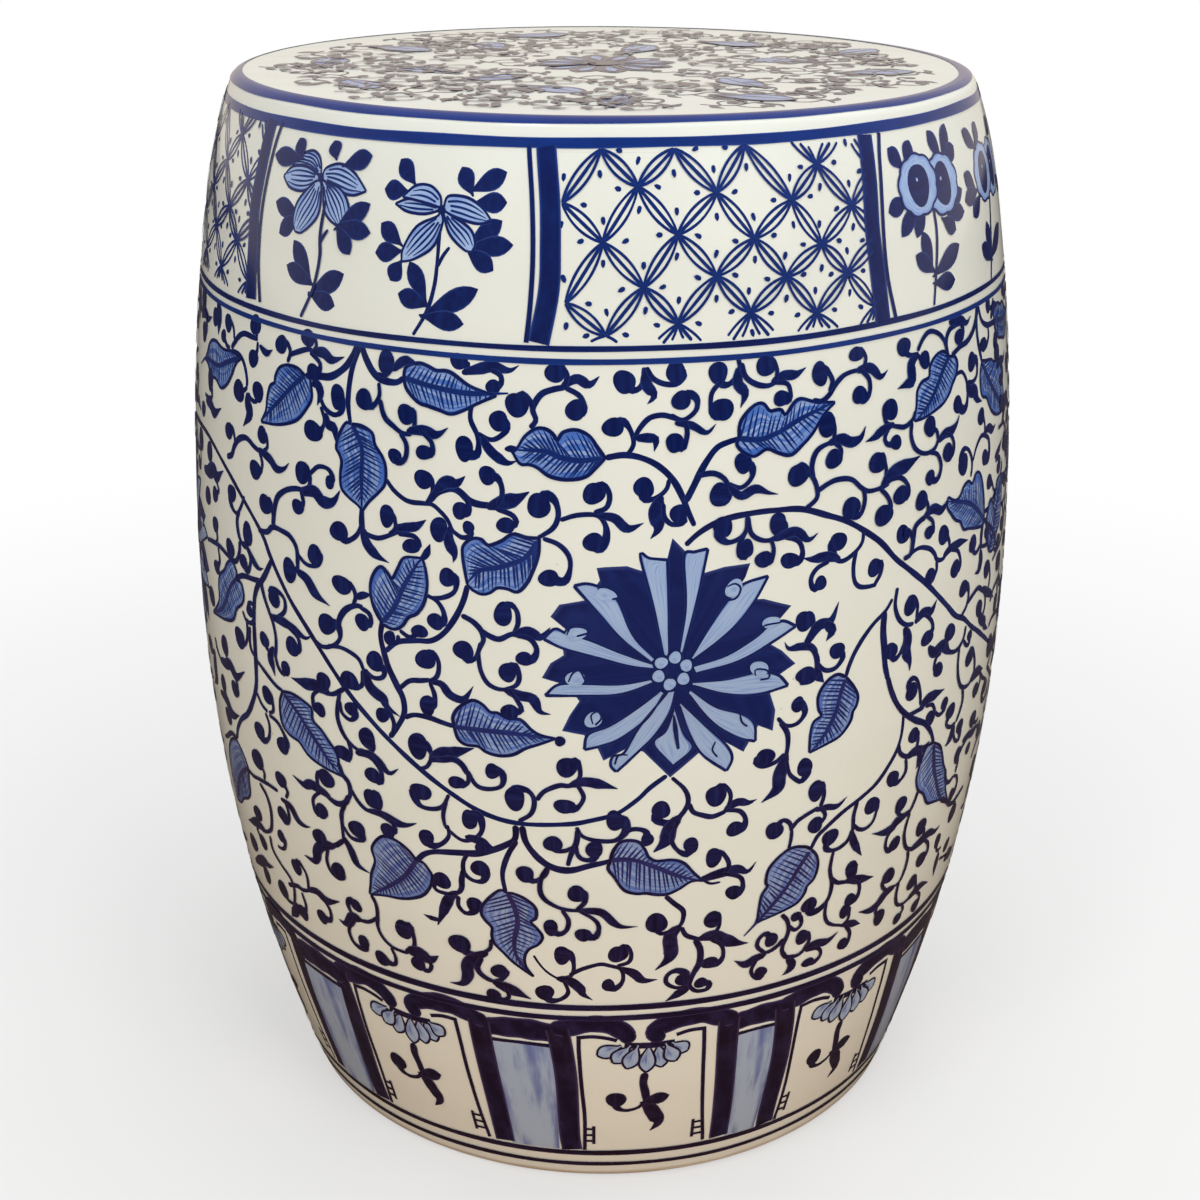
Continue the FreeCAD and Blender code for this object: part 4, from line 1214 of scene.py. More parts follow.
RIGHT = """
stem 1.8 43.3 368,44.5 372,46 374,48 372,49.3 368,49.8 362
wide 3.6 43.5 367,42.2 367,41.3 368,40.7 371
hook 3.3 43.2 367,43.8 365,44.7 364
flame 3.6 43.2 366,42 364,42 358,41 357,39.3 356
stem 1.9 50 362,49.6 368,50.5 372,52.2 373,53.6 373
flame 2.9 50.5 375,52.5 374,53.8 374,55.2 372,56.6 374
wide 3.2 53.4 373,54.2 370,53.7 367,52.9 368
stem 2.1 50.8 362,53 364,55.3 365,57.2 368,58.3 372,59 376
stem 1.7 37.8 343,39 342,40.5 341,42 343,42.5 346
hook 4 38.6 343,37.3 344,36.9 348,37.9 349
hook 2.9 37.9 343,36.9 339,37.4 336,38.8 336
flame 2.6 38.4 343,36.6 342,35.2 340,33.7 339
stem 1.8 41.8 342,41.6 337,42.2 332,43.5 329,45 328,46.4 329,47.2 332
hook 3.8 47 332,46.9 335,46 337,45.4 338
flame 3 46.9 331,48.7 333,50.2 333,51.6 335,52.4 338
hook 3.6 48.8 333,50.2 331,50.8 327,50.2 324,49.3 325
hook 2.9 45.3 328,46.9 326,47.7 321,47.2 317,46.3 316,45.3 318
flame 4.2 36.3 321,38.6 325,40.6 326,43.3 328
hook 3.7 37 322,39.5 322,40.9 318,40.8 314,39.6 315
stem 2.2 40.3 289,41.6 290,42 295,42.3 300,43.2 302,44.5 303
flame 3 44 303,46 305,47.6 303,48.6 304,49.6 307
hook 3.7 44.8 304,44.9 307,44.3 310,43.6 310
hook 2.7 44.6 303,45.9 300,46 296,45.2 296
hook 3.7 41.9 291,41.9 296,41.2 299,40.2 299
stem 1.8 41.6 290,43.5 291,45.5 289,46.6 286,47.2 283,48.4 282,49.3 283
flame 3.1 48.6 283,50.5 285,53 285,55.2 284
hook 3.9 50.1 285,50 288,49.4 291,48.6 292
hook 3.6 50.6 284,52.3 282,53.1 277,52.6 274,51.7 275
hook 3.5 47.1 283,47.2 279,46.7 277,45.8 277
hook 4.2 55.6 310,56 314,55.8 318,54.8 322,53.5 323,52.8 320,53.4 317
hook 3.4 56.2 316,57.4 321,59 324,60.6 323,62 320,62.2 315,61.5 312,60.5 314
hook 3.5 60.3 324,60.4 328,59.8 331,59.1 332
flame 3 60 325,62 325,63.6 323,65.2 324
hook 3.5 51.6 354,53.4 354,54.6 350,54.9 345,54.5 340,53.4 339,52.1 342
flame 4 54.6 349,55.6 345,57 344,57.9 340,59.5 338
hook 3.7 55 349,56.6 348,57.9 350,57.9 356,56.4 356
stem 2.2 58.7 376,58.5 369,58.8 362,59.8 354
stem 2 59.3 376,60.3 370,62 367,64 366,67 366,69 369
wide 3.3 62.8 366,62.9 362,61.8 359,60.6 360
hook 3 66 375,64.6 372,63.2 374
hook 3.4 68 364,67.6 360,66 358
stem 1.8 60.2 291,62 291,63.8 293,66 295,69 292
hook 3.3 65.6 294,64.3 297,63.6 300,62.3 302
flame 4 65 295,68 297,71 296,74 298
stem 1.9 39.4 278,39.1 271,39.8 265,41.2 261,42.8 260
hook 3.6 43.3 262,43.4 267,42.7 271,41.8 271,41.9 268
flame 3.6 43 260,44.6 263,46.4 262,47.5 266
wide 3.5 45 262,46.5 258,46.9 254,45.8 251
hook 3.4 41 260,41.2 254,40.3 249,39.3 248,38.8 252
flame 4.2 41 260,41.8 255,41.6 249,42.4 244,42.5 240
flame 3.9 46.2 247,47.5 243,49.6 244,51 240,52.8 237
stem 1.9 50 241,52.3 238,54 238,55.3 241,55.8 246
hook 3.9 52.6 238,51.1 240,50.5 244,51.2 248
hook 3.3 49.3 241,48.2 240,47.9 236,48.9 234
hook 2.4 55.4 240,56.2 237,57.3 236,57.3 240
hook 3.7 45.4 222,45.1 228,44.3 234,43.2 236,42.6 234,43.3 230
stem 2 41.8 222,43 220,44.8 220,46.3 220
flame 3.5 45.2 220,46.8 223,48.8 223,51 223
hook 3.4 46.6 220,48.2 219,48.9 215,48 213
hook 2.7 48.9 215,50.2 212,51.5 213,51.4 216
stem 2.3 38.4 241,39.3 234,40.6 227,42.4 221,44.6 216,46.8 212,48.6 206,49.6 200
stem 1.8 41.6 208,42 204,43.2 201,45 200,47 200
flame 3.3 43.5 200,45.2 201,47 200,48.6 202
hook 3.4 45.4 201,45.7 205,45.4 209,44.6 209
flame 2.9 45.6 200,46.5 198,46.2 193,45.9 192
hook 3.6 43.4 200,43.7 194,43 191,41.9 190,41.1 193
hook 3.5 54 252,55.5 255,56 260,55.4 264,54.3 264
stem 1.9 55.8 256,57.5 258,59.3 259,61 256,62.2 254
flame 3.4 61 257,63 253,65 250,67 246
hook 3.8 63.8 254,64.2 259,63.4 264,62.4 264
hook 3.6 62.2 254,62.6 248,61.8 244,60.8 245,60.1 249
hook 3.5 59.2 278,58 276,57 277,56.6 281
flame 3 59.3 276,59.6 271,59 267,57.6 267
hook 2.8 59.4 277,60.8 276,61.8 276,61.6 281
stem 2.2 60.2 288,59.6 283,59.4 276
stem 2 60.3 288,62 284,64 280,65.2 276,66.5 270
hook 3.6 60.3 218,60.2 224,59.3 230,58.2 232,57.8 229
stem 1.8 54.2 238,54.2 230,54.8 223,56 218,58 216,60 217
flame 3.7 59 217,61.5 218,64.5 216
hook 3.3 63.5 216,63.8 211,62.9 207,61.9 209
stem 1.8 63 216,65 211,68 206
stem 1.8 56.5 217,57 211,56.5 206,55.6 202
hook 3.6 55.5 202,53.8 202,52.6 205,53.4 210
flame 3 54.8 202,54.6 197,53.4 194,53 194
hook 3.2 55.2 201,55.4 196,56.4 192,57.6 192,57.2 198
hook 4 66 190,64.4 190,62.7 194
stem 1.9 54.3 181,55 175,56.3 172,57.8 173
hook 3 57.8 173,59.2 171,59.9 167,59.4 163,58.4 163
stem 2.3 54.5 166,56.8 162,58.5 158,60 157,62 158,64 159
tall 3.4 58.3 174,58.6 179,58 183
stem 1.9 58.2 180,59 184,61 187,63 188,66 186,68 182
drop 2.8 62.5 180
stem 1.9 47.3 180,46.8 176,46 172,45 171
flame 3.2 46.2 172,44.5 171,43 170,42.3 168,40.5 168,38.3 170
hook 3.6 44.8 171,43.6 173,42.9 176,43.6 178
hook 3.4 42.5 168,41.5 164,41.6 159,42.6 157,43.5 159
stem 1.8 46 171,45.5 165,45.5 160,46.3 154,47.5 151,49 150
flame 3.7 47.8 150,50 151,52.5 152,54.5 150,56 151
hook 4 50.7 152,50.8 156,50.2 158,49.7 159
wide 3.8 50.8 151,52.7 147,53.2 142,51.6 140
stem 1.7 47.2 151,47.5 146,47.2 140,46.5 136,45.5 135
flame 3.7 45.5 135,43.5 134,42 130,40.5 129,38.2 131
hook 3.9 44 134,42.6 138,42.3 141,43.4 143
tall 3.8 42.3 130,42 126,43.1 122
stem 1.7 46.3 136,46.4 128,47.2 123,48.5 121,50 121,51.5 122
flame 3.3 50 121,52 123,54 123,56.3 121
hook 3.7 51.7 122,51.7 127,50.9 130,50.3 130
hook 3.2 52.3 122,54 118,54 114,53.3 113
hook 2.9 48.8 120,49.3 117,48.2 114
tall 3.4 59 135,57.2 136,56.6 142
flame 3.7 58.2 134,58.3 128,58.6 120
hook 4.6 60 156,61.5 154,60.9 150
drop 3.6 61.7 132
stem 1.6 59.5 128,61.5 126,64 124
hook 4 38.6 179,38.8 183,37.7 184
"""

FAR_LEFT = """
stem 2 -56.5 359,-54 359,-52.6 356,-51.8 351,-51.8 348
hook 4.4 -51.6 348,-52.6 346,-53.9 345
hook 3.9 -51.4 346,-50.5 344,-49.4 344,-49 348
flame 3.9 -51.6 346,-51.4 342,-50.8 338,-52.4 332
stem 2.2 -56.6 360,-55.6 363,-54.5 366,-53 368,-51 368,-49.5 368
hook 3.9 -49.8 368,-50 371,-50.3 373
hook 3.5 -49.5 367,-49.6 363,-50.4 360
hook 3.5 -55.8 364,-56.2 368,-57.2 370,-58 369
hook 2.6 -57 360,-58 360,-59.4 363
flame 4.6 -62.5 375,-61.5 369,-61.4 362
drop 3.6 -63 368
hook 3.5 -54.5 323,-54.8 326,-55.4 329,-56.5 327
stem 2.3 -57 316,-55.5 318,-54.8 322,-53.5 326,-51.5 328,-49.5 326,-48 325
hook 3.9 -48.3 325,-47.6 321,-48 317,-49.2 317
hook 3.3 -47.4 326,-46.5 328,-46.8 332,-47.7 332
hook 3.7 -51.9 304,-52.8 299,-54 295,-55.3 296,-56 299,-55.5 302
stem 2.2 -53.3 297,-54 292,-53.5 286,-52.3 283,-51.5 283
tall 4.2 -52.5 284,-51.1 285,-50.6 288,-51.2 289
tall 4 -63.5 306,-63.8 312
flame 4.8 -67 302,-64.5 303,-62 306,-60.8 304,-58.2 309
drop 4 -65 292
hook 3.3 -60.8 302,-60 299,-61.5 296
flame 3.5 -66 332,-63.5 332,-61.8 330,-59.2 334
tall 4 -66.5 334,-64.5 334,-63 336,-64 342
drop 3.3 -67.5 327
flame 3.1 -71 363,-68.5 366,-66.5 365,-64.5 367
drop 3.9 -69.8 370
drop 3.6 -68.3 358
stem 2.2 -48 272,-50 271,-52.5 270,-54 268,-55 266
stem 2.4 -45.6 283,-47.5 274,-48.8 270,-49.8 264,-50.2 256,-50.4 248,-50.5 240,-50.6 232,-51 223,
-52.5 214,-54.5 206,-57 200,-59 193,-60 187
hook 4.1 -52.3 252,-52.3 245,-53 240,-54.5 237,-55.3 239,-54.8 241
stem 1.7 -53.3 254,-52.5 251,-51 251,-50.3 254,-50.2 257
hook 2.6 -50 258,-50.6 260,-51.5 259,-51.3 256
stem 1.6 -51.5 249,-51.8 242,-51.4 238,-50 236
hook 3.9 -48.3 214,-47.2 216,-47.2 220,-48.2 222
stem 1.8 -51 220,-50 216,-48.6 214
hook 4 -49.2 213,-48.5 208,-48.9 202,-50 199,-51 199,-51.4 202
hook 3.2 -46.5 242,-47.6 244,-48 247
stem 2 -53.3 284,-53.5 279,-54.7 274,-57 274,-60 275,-63 274,-66 272
hook 3.9 -55.8 274,-56.3 278
hook 3.4 -61.8 274,-60.9 278,-61.6 283
wide 3.2 -60.8 274,-60.4 268,-61.8 264
hook 3.2 -52 285,-50.6 280,-50.7 276,-51.5 273,-52.4 276
flame 2.4 -51.5 284,-49.8 279,-48.5 277,-47.4 278
tall 4.2 -60.2 224,-60.6 230
flame 3.9 -63.5 220,-61 221,-59 223,-57 220,-54 226
hook 3.8 -57.8 221,-57 216,-58 213
stem 1.6 -65.3 228,-64.6 223,-63 220
tall 3.6 -62.3 203,-63.2 209
flame 4 -65.5 202,-62.5 202,-60.5 198,-57.5 201
hook 3.8 -61 199,-61.3 196,-62.6 194
drop 4.2 -65.3 247
hook 4.8 -51.9 178,-51.7 182,-53.2 186
stem 1.9 -57.5 176,-55.5 175,-53.5 176,-51 177,-48.5 177
hook 3.7 -46.6 176,-46 180,-47.3 184
hook 3.6 -47 175,-46.5 168,-47 164,-48 163,-48.2 166
stem 2 -60 187,-62.5 186,-65 181,-67 178
wide 3.8 -55.8 148,-57 151,-56.4 155
stem 2 -53.6 174,-52 170,-51.5 163,-52.2 154,-53.5 150,-55 148
flame 3.8 -54.5 148,-57 149,-59.5 146,-61.5 144
hook 3.6 -57.3 147,-57.9 144,-56.5 140
hook 2.9 -51.3 146,-50.3 146,-49.2 148,-48.9 152,-49.7 153
stem 1.8 -53.3 148,-53.3 141,-51.5 136,-49.5 132,-49 127,-49.5 121,-50 118
hook 4.3 -49.3 118,-50.5 117,-52 117,-52.8 121
flame 4.3 -49 119,-50 114,-52 108
wide 3.9 -49.5 118,-48.2 116
drop 4.5 -61.5 132
flame 4 -63 120,-60.5 124,-58 128,-56.5 128,-54.5 130
tall 4 -58.6 126,-58.3 120
"""

SIDE_LEAVES = """
50.3 362,49.5 364,48.5 365,47 364,45.8 361,45.5 357,44 356,43 353,42.8 348,42.3 342
50.3 362,51.7 361,52.3 358,51.8 354,50.8 351,50 348,48.5 345,46 343,44 342,42.3 342
50.2 362,48.7 358,47 352,45 346,42.6 342
60.3 288,60.1 295,59.7 301,59 307,58 310,57 310,56 307,54.8 309,53.5 308,52.5 305,51.5 304,50.5 305,
49.4 307
60.3 288,59.5 286,57.5 287,55 289,53.6 290,52.6 294,51.3 296,50 300,49.2 303,49.4 307
60.3 288,57 296,54 301,49.5 305
59.8 354,61.5 353,63.5 352,65 350,67 350,69 344,70 336,71 326
59.8 354,59.1 350,59 345,59.6 340,61.3 338,62.3 334,63.8 330,66.5 327,71 326
59.8 353,63.3 342,67 333,71 326
49.6 200,48 200,47 195,46.4 188,46.6 184,47.3 180,48.6 177,49.3 174,50.3 170,52.5 168,54.5 166,57.5 160
49.6 200,51.5 196,52.6 190,53.3 185,54.4 180,55 174,55.8 168,57.5 160
49.7 199,50.5 188,52 178,54 168,57.3 160
-53.5 358,-56 359,-58.5 358,-60 358,-62 359,-64 358,-65.5 355,-66.5 350
-53.5 358,-55 355,-56 350,-57.5 345,-59.5 342,-61.5 344,-63.5 344,-65 346,-66.5 350
-53.8 358,-57.5 354,-61 350,-66.5 349,-70 344
-54.8 266,-54.6 270,-56 273,-57.6 270,-58.7 266,-60.5 262,-61.2 257,-61.3 251,-62.5 246,-65 240
-54.8 266,-53.3 266,-52.7 261,-53.3 257,-55 253,-56.3 247,-58.5 244,-61.5 242,-65 240
-54.9 266,-57 260,-59.3 250,-61.5 245,-65 240
-57 176,-58 181,-60 185,-62 184,-64.5 178,-66.5 168,-67.5 157,-67 146
-57 176,-57.5 170,-58 163,-59.5 158,-62 154,-64 149,-67 146
-57.3 176,-61 168,-64 158,-67 146
"""

SCROLL_NOTES = (VINES + ROUND_THE_LOTUS + ABOVE_THE_LOTUS + BELOW_THE_LOTUS + LEFT_OF_THE_LOTUS
                + UPPER_LEFT + RIGHT + FAR_LEFT)
# The scroll that the picture shows, and how the rest of the turn repeats it: a turn in degrees and
# the angles of the front that are taken along.
FRONT = ((0.0, None),)
BACK = ((90.0, (-25.0, 60.0)), (180.0, (-30.0, 60.0)), (270.0, (-30.0, 22.0)))


def paint_scroll(name, copies, dark, mid, leaf_wash):
    """The scrolling lines and their leaves, once for each copy."""
    line = Painting(name, dark, LINE, drum_surface)
    hatch = Painting(name + "_veins", mid, LINE, drum_surface)
    fill = Painting(name + "_leaves", leaf_wash, WASH, drum_surface)
    for turn, keep in copies:
        paint_notes(SCROLL_NOTES, line, turn, keep)
        for leaf in read_shapes(LEAVES + SIDE_LEAVES, 3):
            middle = leaf[2][:, 0].mean()
            if keep is None or keep[0] <= middle < keep[1]:
                paint_leaf(*(on_paper(edge + [turn, 0]) for edge in leaf), fill, line, hatch)
    return line, hatch, fill


# The lotus, in millimetres across and up from its heart, which lies at an angle and a climb.

LOTUS_HEART = (8.4, 260.5)
LOTUS_TURNS = (0.0, 90.0, 180.0, 270.0)
LOTUS_STAR = """
-0.4 51.5,5.3 45.3,11.7 37.6,19.1 39.2,29.1 39.6,27.3 34.5,25.1 31.2,30.3 25.4,34.6 25.0,46.0 20.7,
41.6 16.4,36.5 7.4,42.5 3.2,48.4 -3.1,40.7 -7.1,38.2 -13.8,40.6 -21.0,39.9 -29.7,33.8 -26.4,
28.2 -36.7,19.1 -30.2,12.1 -34.1,10.4 -35.2,0.0 -44.5,-10.1 -33.0,-15.3 -30.6,-25.0 -36.4,
-27.4 -30.6,-32.2 -25.7,-40.3 -24.2,-37.5 -17.7,-33.9 -11.7,-37.9 -5.5,-47.6 -2.8,-44.4 3.3,
-39.6 6.7,-40.3 12.1,-39.1 17.2,-44.4 21.7,-41.2 26.5,-31.5 28.5,-26.6 36.1,-27.8 40.8,-25.0 41.2,
-16.9 41.5,-11.3 39.5,-5.6 42.2,-2.4 43.4
"""
# Each blade takes two lines, one for each edge, from the heart out.
LOTUS_PETALS = """
-3.1 6.1,-7.2 25.7,-12.1 45.4,-8.8 44.3,-2.1 43.4
-1.3 6.0,-1.6 24.6,-2.1 43.4
2.4 6.4,4.7 25.9,3.9 44.4,7.8 45.8,12.8 46.7
3.6 6.4,8.3 24.7,12.8 46.7
7.0 4.6,13.8 16.5,21.7 27.7,26.9 32.0,36.3 33.8
8.0 4.2,21.7 14.1,30.3 23.7,36.3 33.8
7.8 1.2,20.8 4.5,32.1 10.5,36.5 13.9,42.5 15.2,48.1 12.2
9.1 -1.5,25.1 1.5,38.2 7.2,48.1 12.2
7.8 -5.3,20.8 -5.3,32.1 -4.2,40.7 -6.2,45.6 -11.6
7.8 -6.4,20.8 -11.4,32.9 -13.2,45.6 -11.6
7.0 -8.4,16.5 -16.0,26.9 -20.4,32.1 -25.3,32.9 -32.9
6.3 -9.8,14.7 -21.6,25.1 -29.9,32.9 -32.9
3.4 -13.3,12.1 -22.7,20.8 -32.2,23.8 -38.5,21.7 -44.0
3.0 -14.2,7.0 -26.7,12.1 -35.8,21.7 -44.0
1.3 -15.8,4.7 -26.1,8.3 -32.5,0.9 -39.8
0.9 -15.8,-2.0 -24.4,-6.5 -29.5,0.9 -39.8
1.2 -8.0,-0.8 -17.0,-5.8 -25.9,-12.4 -33.0,-20.2 -41.2
-1.6 -8.9,-7.4 -16.1,-12.4 -23.2,-17.4 -33.0,-21.5 -34.4,-22.3 -38.4,-20.2 -41.2
-3.1 -9.0,-8.8 -18.7,-18.5 -26.9,-25.0 -29.8,-32.1 -31.8
-4.4 -8.0,-12.1 -14.1,-22.6 -21.6,-30.6 -25.2,-32.1 -31.8
-5.6 -2.7,-18.5 -4.6,-30.6 -4.5,-41.2 -5.0,-46.5 -9.8
-5.6 -3.8,-18.5 -8.6,-31.5 -9.3,-46.5 -9.8
-6.0 2.6,-16.9 7.0,-30.6 13.2,-38.7 15.5,-42.8 17.1,-47.0 12.9
-5.6 1.1,-15.3 2.5,-29.0 6.5,-39.6 9.4,-47.0 12.9
-6.6 5.2,-14.6 14.8,-21.0 29.9,-29.9 34.7,-36.0 34.0
-7.9 4.0,-18.5 13.2,-26.6 23.0,-36.0 34.0
"""
LOTUS_CURLS = """
-27.4 32.7,-25.0 34.6,-20.2 33.9,-18.1 30.2,-22.2 28.9
-38.5 14.8,-36.5 18.5,-31.3 19.0,-30.0 16.3,-34.9 14.4
-37.9 -3.9,-36.2 -0.2,-33.7 0.7,-31.8 -3.1
-28.9 -21.0,-29.6 -17.3,-27.1 -15.8,-25.8 -18.5,-28.1 -21.4
-16.0 -34.0,-19.4 -33.8,-20.8 -37.9
16.9 -30.7,15.8 -34.1,17.8 -37.3
26.2 -20.3,27.1 -23.9,29.3 -26.0
31.9 -5.4,31.9 -2.8,36.5 -3.8,37.5 -6.9,33.8 -7.3
34.5 11.8,34.8 14.4,41.6 14.8
20.1 31.5,23.2 32.4,25.4 30.3,23.8 26.8,20.8 26.2
"""
LOTUS_FOLD = "0.8 -18,1.8 -26,2.8 -32.5"
LOTUS_BEADS = np.radians(np.arange(20, 380, 60))
BEAD_RING, BEAD_RIM, BEAD = 5.4, 3.2, 2.3
STAR_STEP = 3.0
# The place, the radius, the length over the width and the lean of each curled lobe.
LOTUS_LOBES = ((-24.6, 30.6, 3.2, 1.6, -15), (-35.2, 15.2, 3.2, 1.5, 15), (-35.4, -2.6, 3.3, 1.3, 20),
               (-28.8, -19.2, 3.2, 1.2, 60), (22.8, 30.6, 3.4, 1.3, 40), (37.6, 15.4, 2.8, 1.6, 10),
               (33.4, -2.8, 3.4, 1.2, -30))


def petal_edges(base, tip, width, start=0.18):
    """Two edges of a petal between flat points: half the width grows as the sine of a power of the
    share, so the widest part lies towards the tip."""
    share = np.linspace(0, 1, 9)[:, None]
    axis = tip - base
    side = np.array([-axis[1], axis[0]]) / np.hypot(*axis)
    half = 0.5 * width * np.maximum(np.sin(math.pi * share ** 1.5) ** 0.8, start * (1 - share) ** 0.6)
    return base + axis * share + side * half, base + axis * share - side * half


def paint_petal(base, tip, width, fill, line, outline=0.9):
    left, right = petal_edges(base, tip, width)
    Painting.start_motif(12)
    fill.patch(left, right, rows=12, columns=5)
    Painting.next_layer()
    for edge in (left, right):
        line.stroke(edge, outline, taper=(0.7, 1.0))


def paint_lotus(fill, line, turn):
    """The lotus: a dark star, pale blades between its points with a curled lobe near each tip, and a
    ring of pale beads round the heart."""
    heart = on_paper([np.array(LOTUS_HEART) + [turn, 0]])[0]
    Painting.start_motif(LIFT_CYCLE)
    line.blot(heart, even_loop(heart + read_points(LOTUS_STAR), STAR_STEP))
    Painting.next_layer()
    blades = [[heart + edge for edge in blade] for blade in read_shapes(LOTUS_PETALS, 2)]
    for blade in blades:
        fill.patch(*blade, rows=18, columns=5)
    Painting.next_layer()
    for blade in blades:
        for edge in blade:
            line.stroke(edge, 1.0, taper=(0.6, 1.3))
    Painting.next_layer()
    for x, z, radius, length, lean in LOTUS_LOBES:
        fill.dab(heart + [x, z], radius, length, math.radians(lean))
    Painting.next_layer()
    for curl in read_lines(LOTUS_CURLS):
        line.stroke(heart + read_points(curl), 0.8, taper=(0.7, 1.0))
    line.stroke(heart + read_points(LOTUS_FOLD), 1.9, taper=(0.3, 0.6))
    beads = heart + BEAD_RING * np.stack([np.cos(LOTUS_BEADS), np.sin(LOTUS_BEADS)], -1)
    for brush, radius in ((line, BEAD_RIM), (fill, BEAD)):
        for bead in beads:
            brush.dab(bead, radius)
        Painting.next_layer()
    line.dab(heart, BEAD_RIM)


def paint_lotuses(deep_blue, pale_wash):
    line = Painting("lotuses", deep_blue, LINE, drum_surface)
    fill = Painting("lotus_petals", pale_wash, WASH, drum_surface)
    for turn in LOTUS_TURNS:
        paint_lotus(fill, line, turn)
    return line, fill


def even_loop(points, step):
    """A closed loop with a point about every `step` millimetres of each of its straight sides."""
    after = np.roll(points, -1, axis=0)
    sides = []
    for start, end in zip(points, after):
        count = max(int(np.hypot(*(end - start)) / step), 1)
        share = np.linspace(0, 1, count, endpoint=False)[:, None]
        sides.append(start + (end - start) * share)
    return np.concatenate(sides)


# The band under the seat

BAND_LOW, BAND_HIGH = 382.0, 447.6
# The crossings of the lattice, row by row. Each row lies half a step beside the one before it.
LATTICE_ROWS = """
-5.2 462,4.1 462,13.4 462,22.7 459,33.5 453
-0.3 447,9 447,18.3 447.5,28.4 439.5,37.5 436
-5 429.5,4.3 435,14.2 432.4,24.2 428.3,33.2 424.5
0 416.6,9.1 418.9,18.8 416.4,28.1 412.4,37 412
-4.4 396,4.9 401.4,13.8 404.5,22.9 402.6,31.8 401.4
0.4 385,9 388.7,18 391.2,26.9 388.7,36 388
-5.2 371,4.1 371,13.4 373,22.7 374,32 373
"""
LATTICE_LEFT, LATTICE_RIGHT = -6.0, 36.2
PANEL_BARS = """
bar 8 -7.5 382,-6.4 400,-6.3 415,-6.5 430,-7.2 447.6
bar 8 37.2 382,36.7 400,36.3 415,36.6 430,37 447.6
bar 1.9 -9 382,-8.6 395,-8.4 412,-8.7 430,-9.4 447.6
bar 1.9 39.5 382,38.4 398,38.2 415,38.9 437,39.7 447.6
"""
ASTERS = """
drop 1.6 -39.2 431.3
drop 1.6 -20.2 425.3
stem 1.4 -37.8 424,-38.2 412,-38 405,-38.3 398,-39 391,-40.8 381
stem 1.2 -38.3 408,-37.7 411,-36.9 414
leaf 7.4 -44 436.5,-49.5 436
leaf 7.4 -43.5 437.5,-44.6 443.5
leaf 7.4 -37 439,-37.8 444.5
leaf 7.4 -35 437,-31 441
leaf 7.4 -35 416,-30.4 425
leaf 7.4 -35 416,-30 415
leaf 7.4 -35.2 415,-33 406.5
leaf 7.4 -43 417,-47.8 420
leaf 7.4 -43 416,-46.4 409
leaf 8.2 -39.8 396,-43.2 408
leaf 7.4 -39.5 394,-44.3 398.5
leaf 8.2 -38.8 391,-33.8 399.5
leaf 7.4 -39 390,-35 387.5
stem 1.4 -20.3 420,-20.5 405,-20.8 398,-21.6 390,-23.3 381.5
stem 1.2 -20.4 406,-19.7 410,-18.9 413
leaf 7.4 -24.5 434,-26.7 441
leaf 7.4 -25.5 430.5,-28.6 430.5
leaf 7.4 -16.5 432,-18 440
leaf 7.4 -16 433,-12 439
leaf 7.4 -15.5 428.5,-11.8 429
leaf 7.4 -25.8 413,-28.6 419
leaf 7.4 -25.8 410,-29.2 408.5
leaf 7.4 -25.5 406,-26.8 399.5
leaf 7.4 -16 415,-12.3 423
leaf 7.4 -16 413.5,-10.8 415
leaf 7.4 -16.3 412,-13.2 406
leaf 7.4 -22 395,-24.2 407
leaf 7.4 -22 392.5,-25.6 395.5
leaf 8.2 -21.2 390,-15 399.5
leaf 7.4 -21.6 388.5,-16.7 387
"""
# Each petal takes two lines, one for each edge, from the flower's middle out.
ASTER_PETALS = """
-39.3 432,-42.5 434.5,-45.3 434,-44 438
-39.3 432,-39.6 436,-40.3 438.8,-41.7 440,-44 438
-39.3 431.5,-42 434.2,-45 433.5,-46.8 429.5
-39.3 431,-42 426,-45 426,-46.8 429.5
-39 432,-38.5 435,-36 437,-33.5 434.5,-31.3 429
-39 431,-36 428,-33.5 427,-31.3 429
-39.4 430.5,-40.5 429,-43 422,-43.6 415,-43 411
-39.2 430.5,-38.8 426,-39 418,-41.5 411.5,-43 411
-39 430,-38.5 428,-38 421,-36.5 417,-35 416
-38.8 430.5,-35.5 428.5,-33.8 423,-34 418.5,-35 416
-20.4 426,-23 427.5,-25.8 428.5
-20.3 426.5,-20.6 430,-22 433,-24 432.7,-25.8 428.5
-20.4 425.8,-22.5 428,-25 428,-26.8 426
-20.4 425.2,-22.5 423.5,-25 423.8,-26.8 426
-20 426,-19.5 430,-17 430,-15 427,-13.6 422.5
-20 425,-18 423,-15.5 421.5,-13.6 422.5
-20.5 424.5,-20.8 423,-23.5 419,-25.2 411,-25.3 406.5
-20.2 424,-20 421,-21 413,-23.5 408,-25.3 406.5
-20 424.5,-19 417.5,-17 412.5,-16 412
-19.8 425,-16.5 420,-15.6 415,-16 412
"""
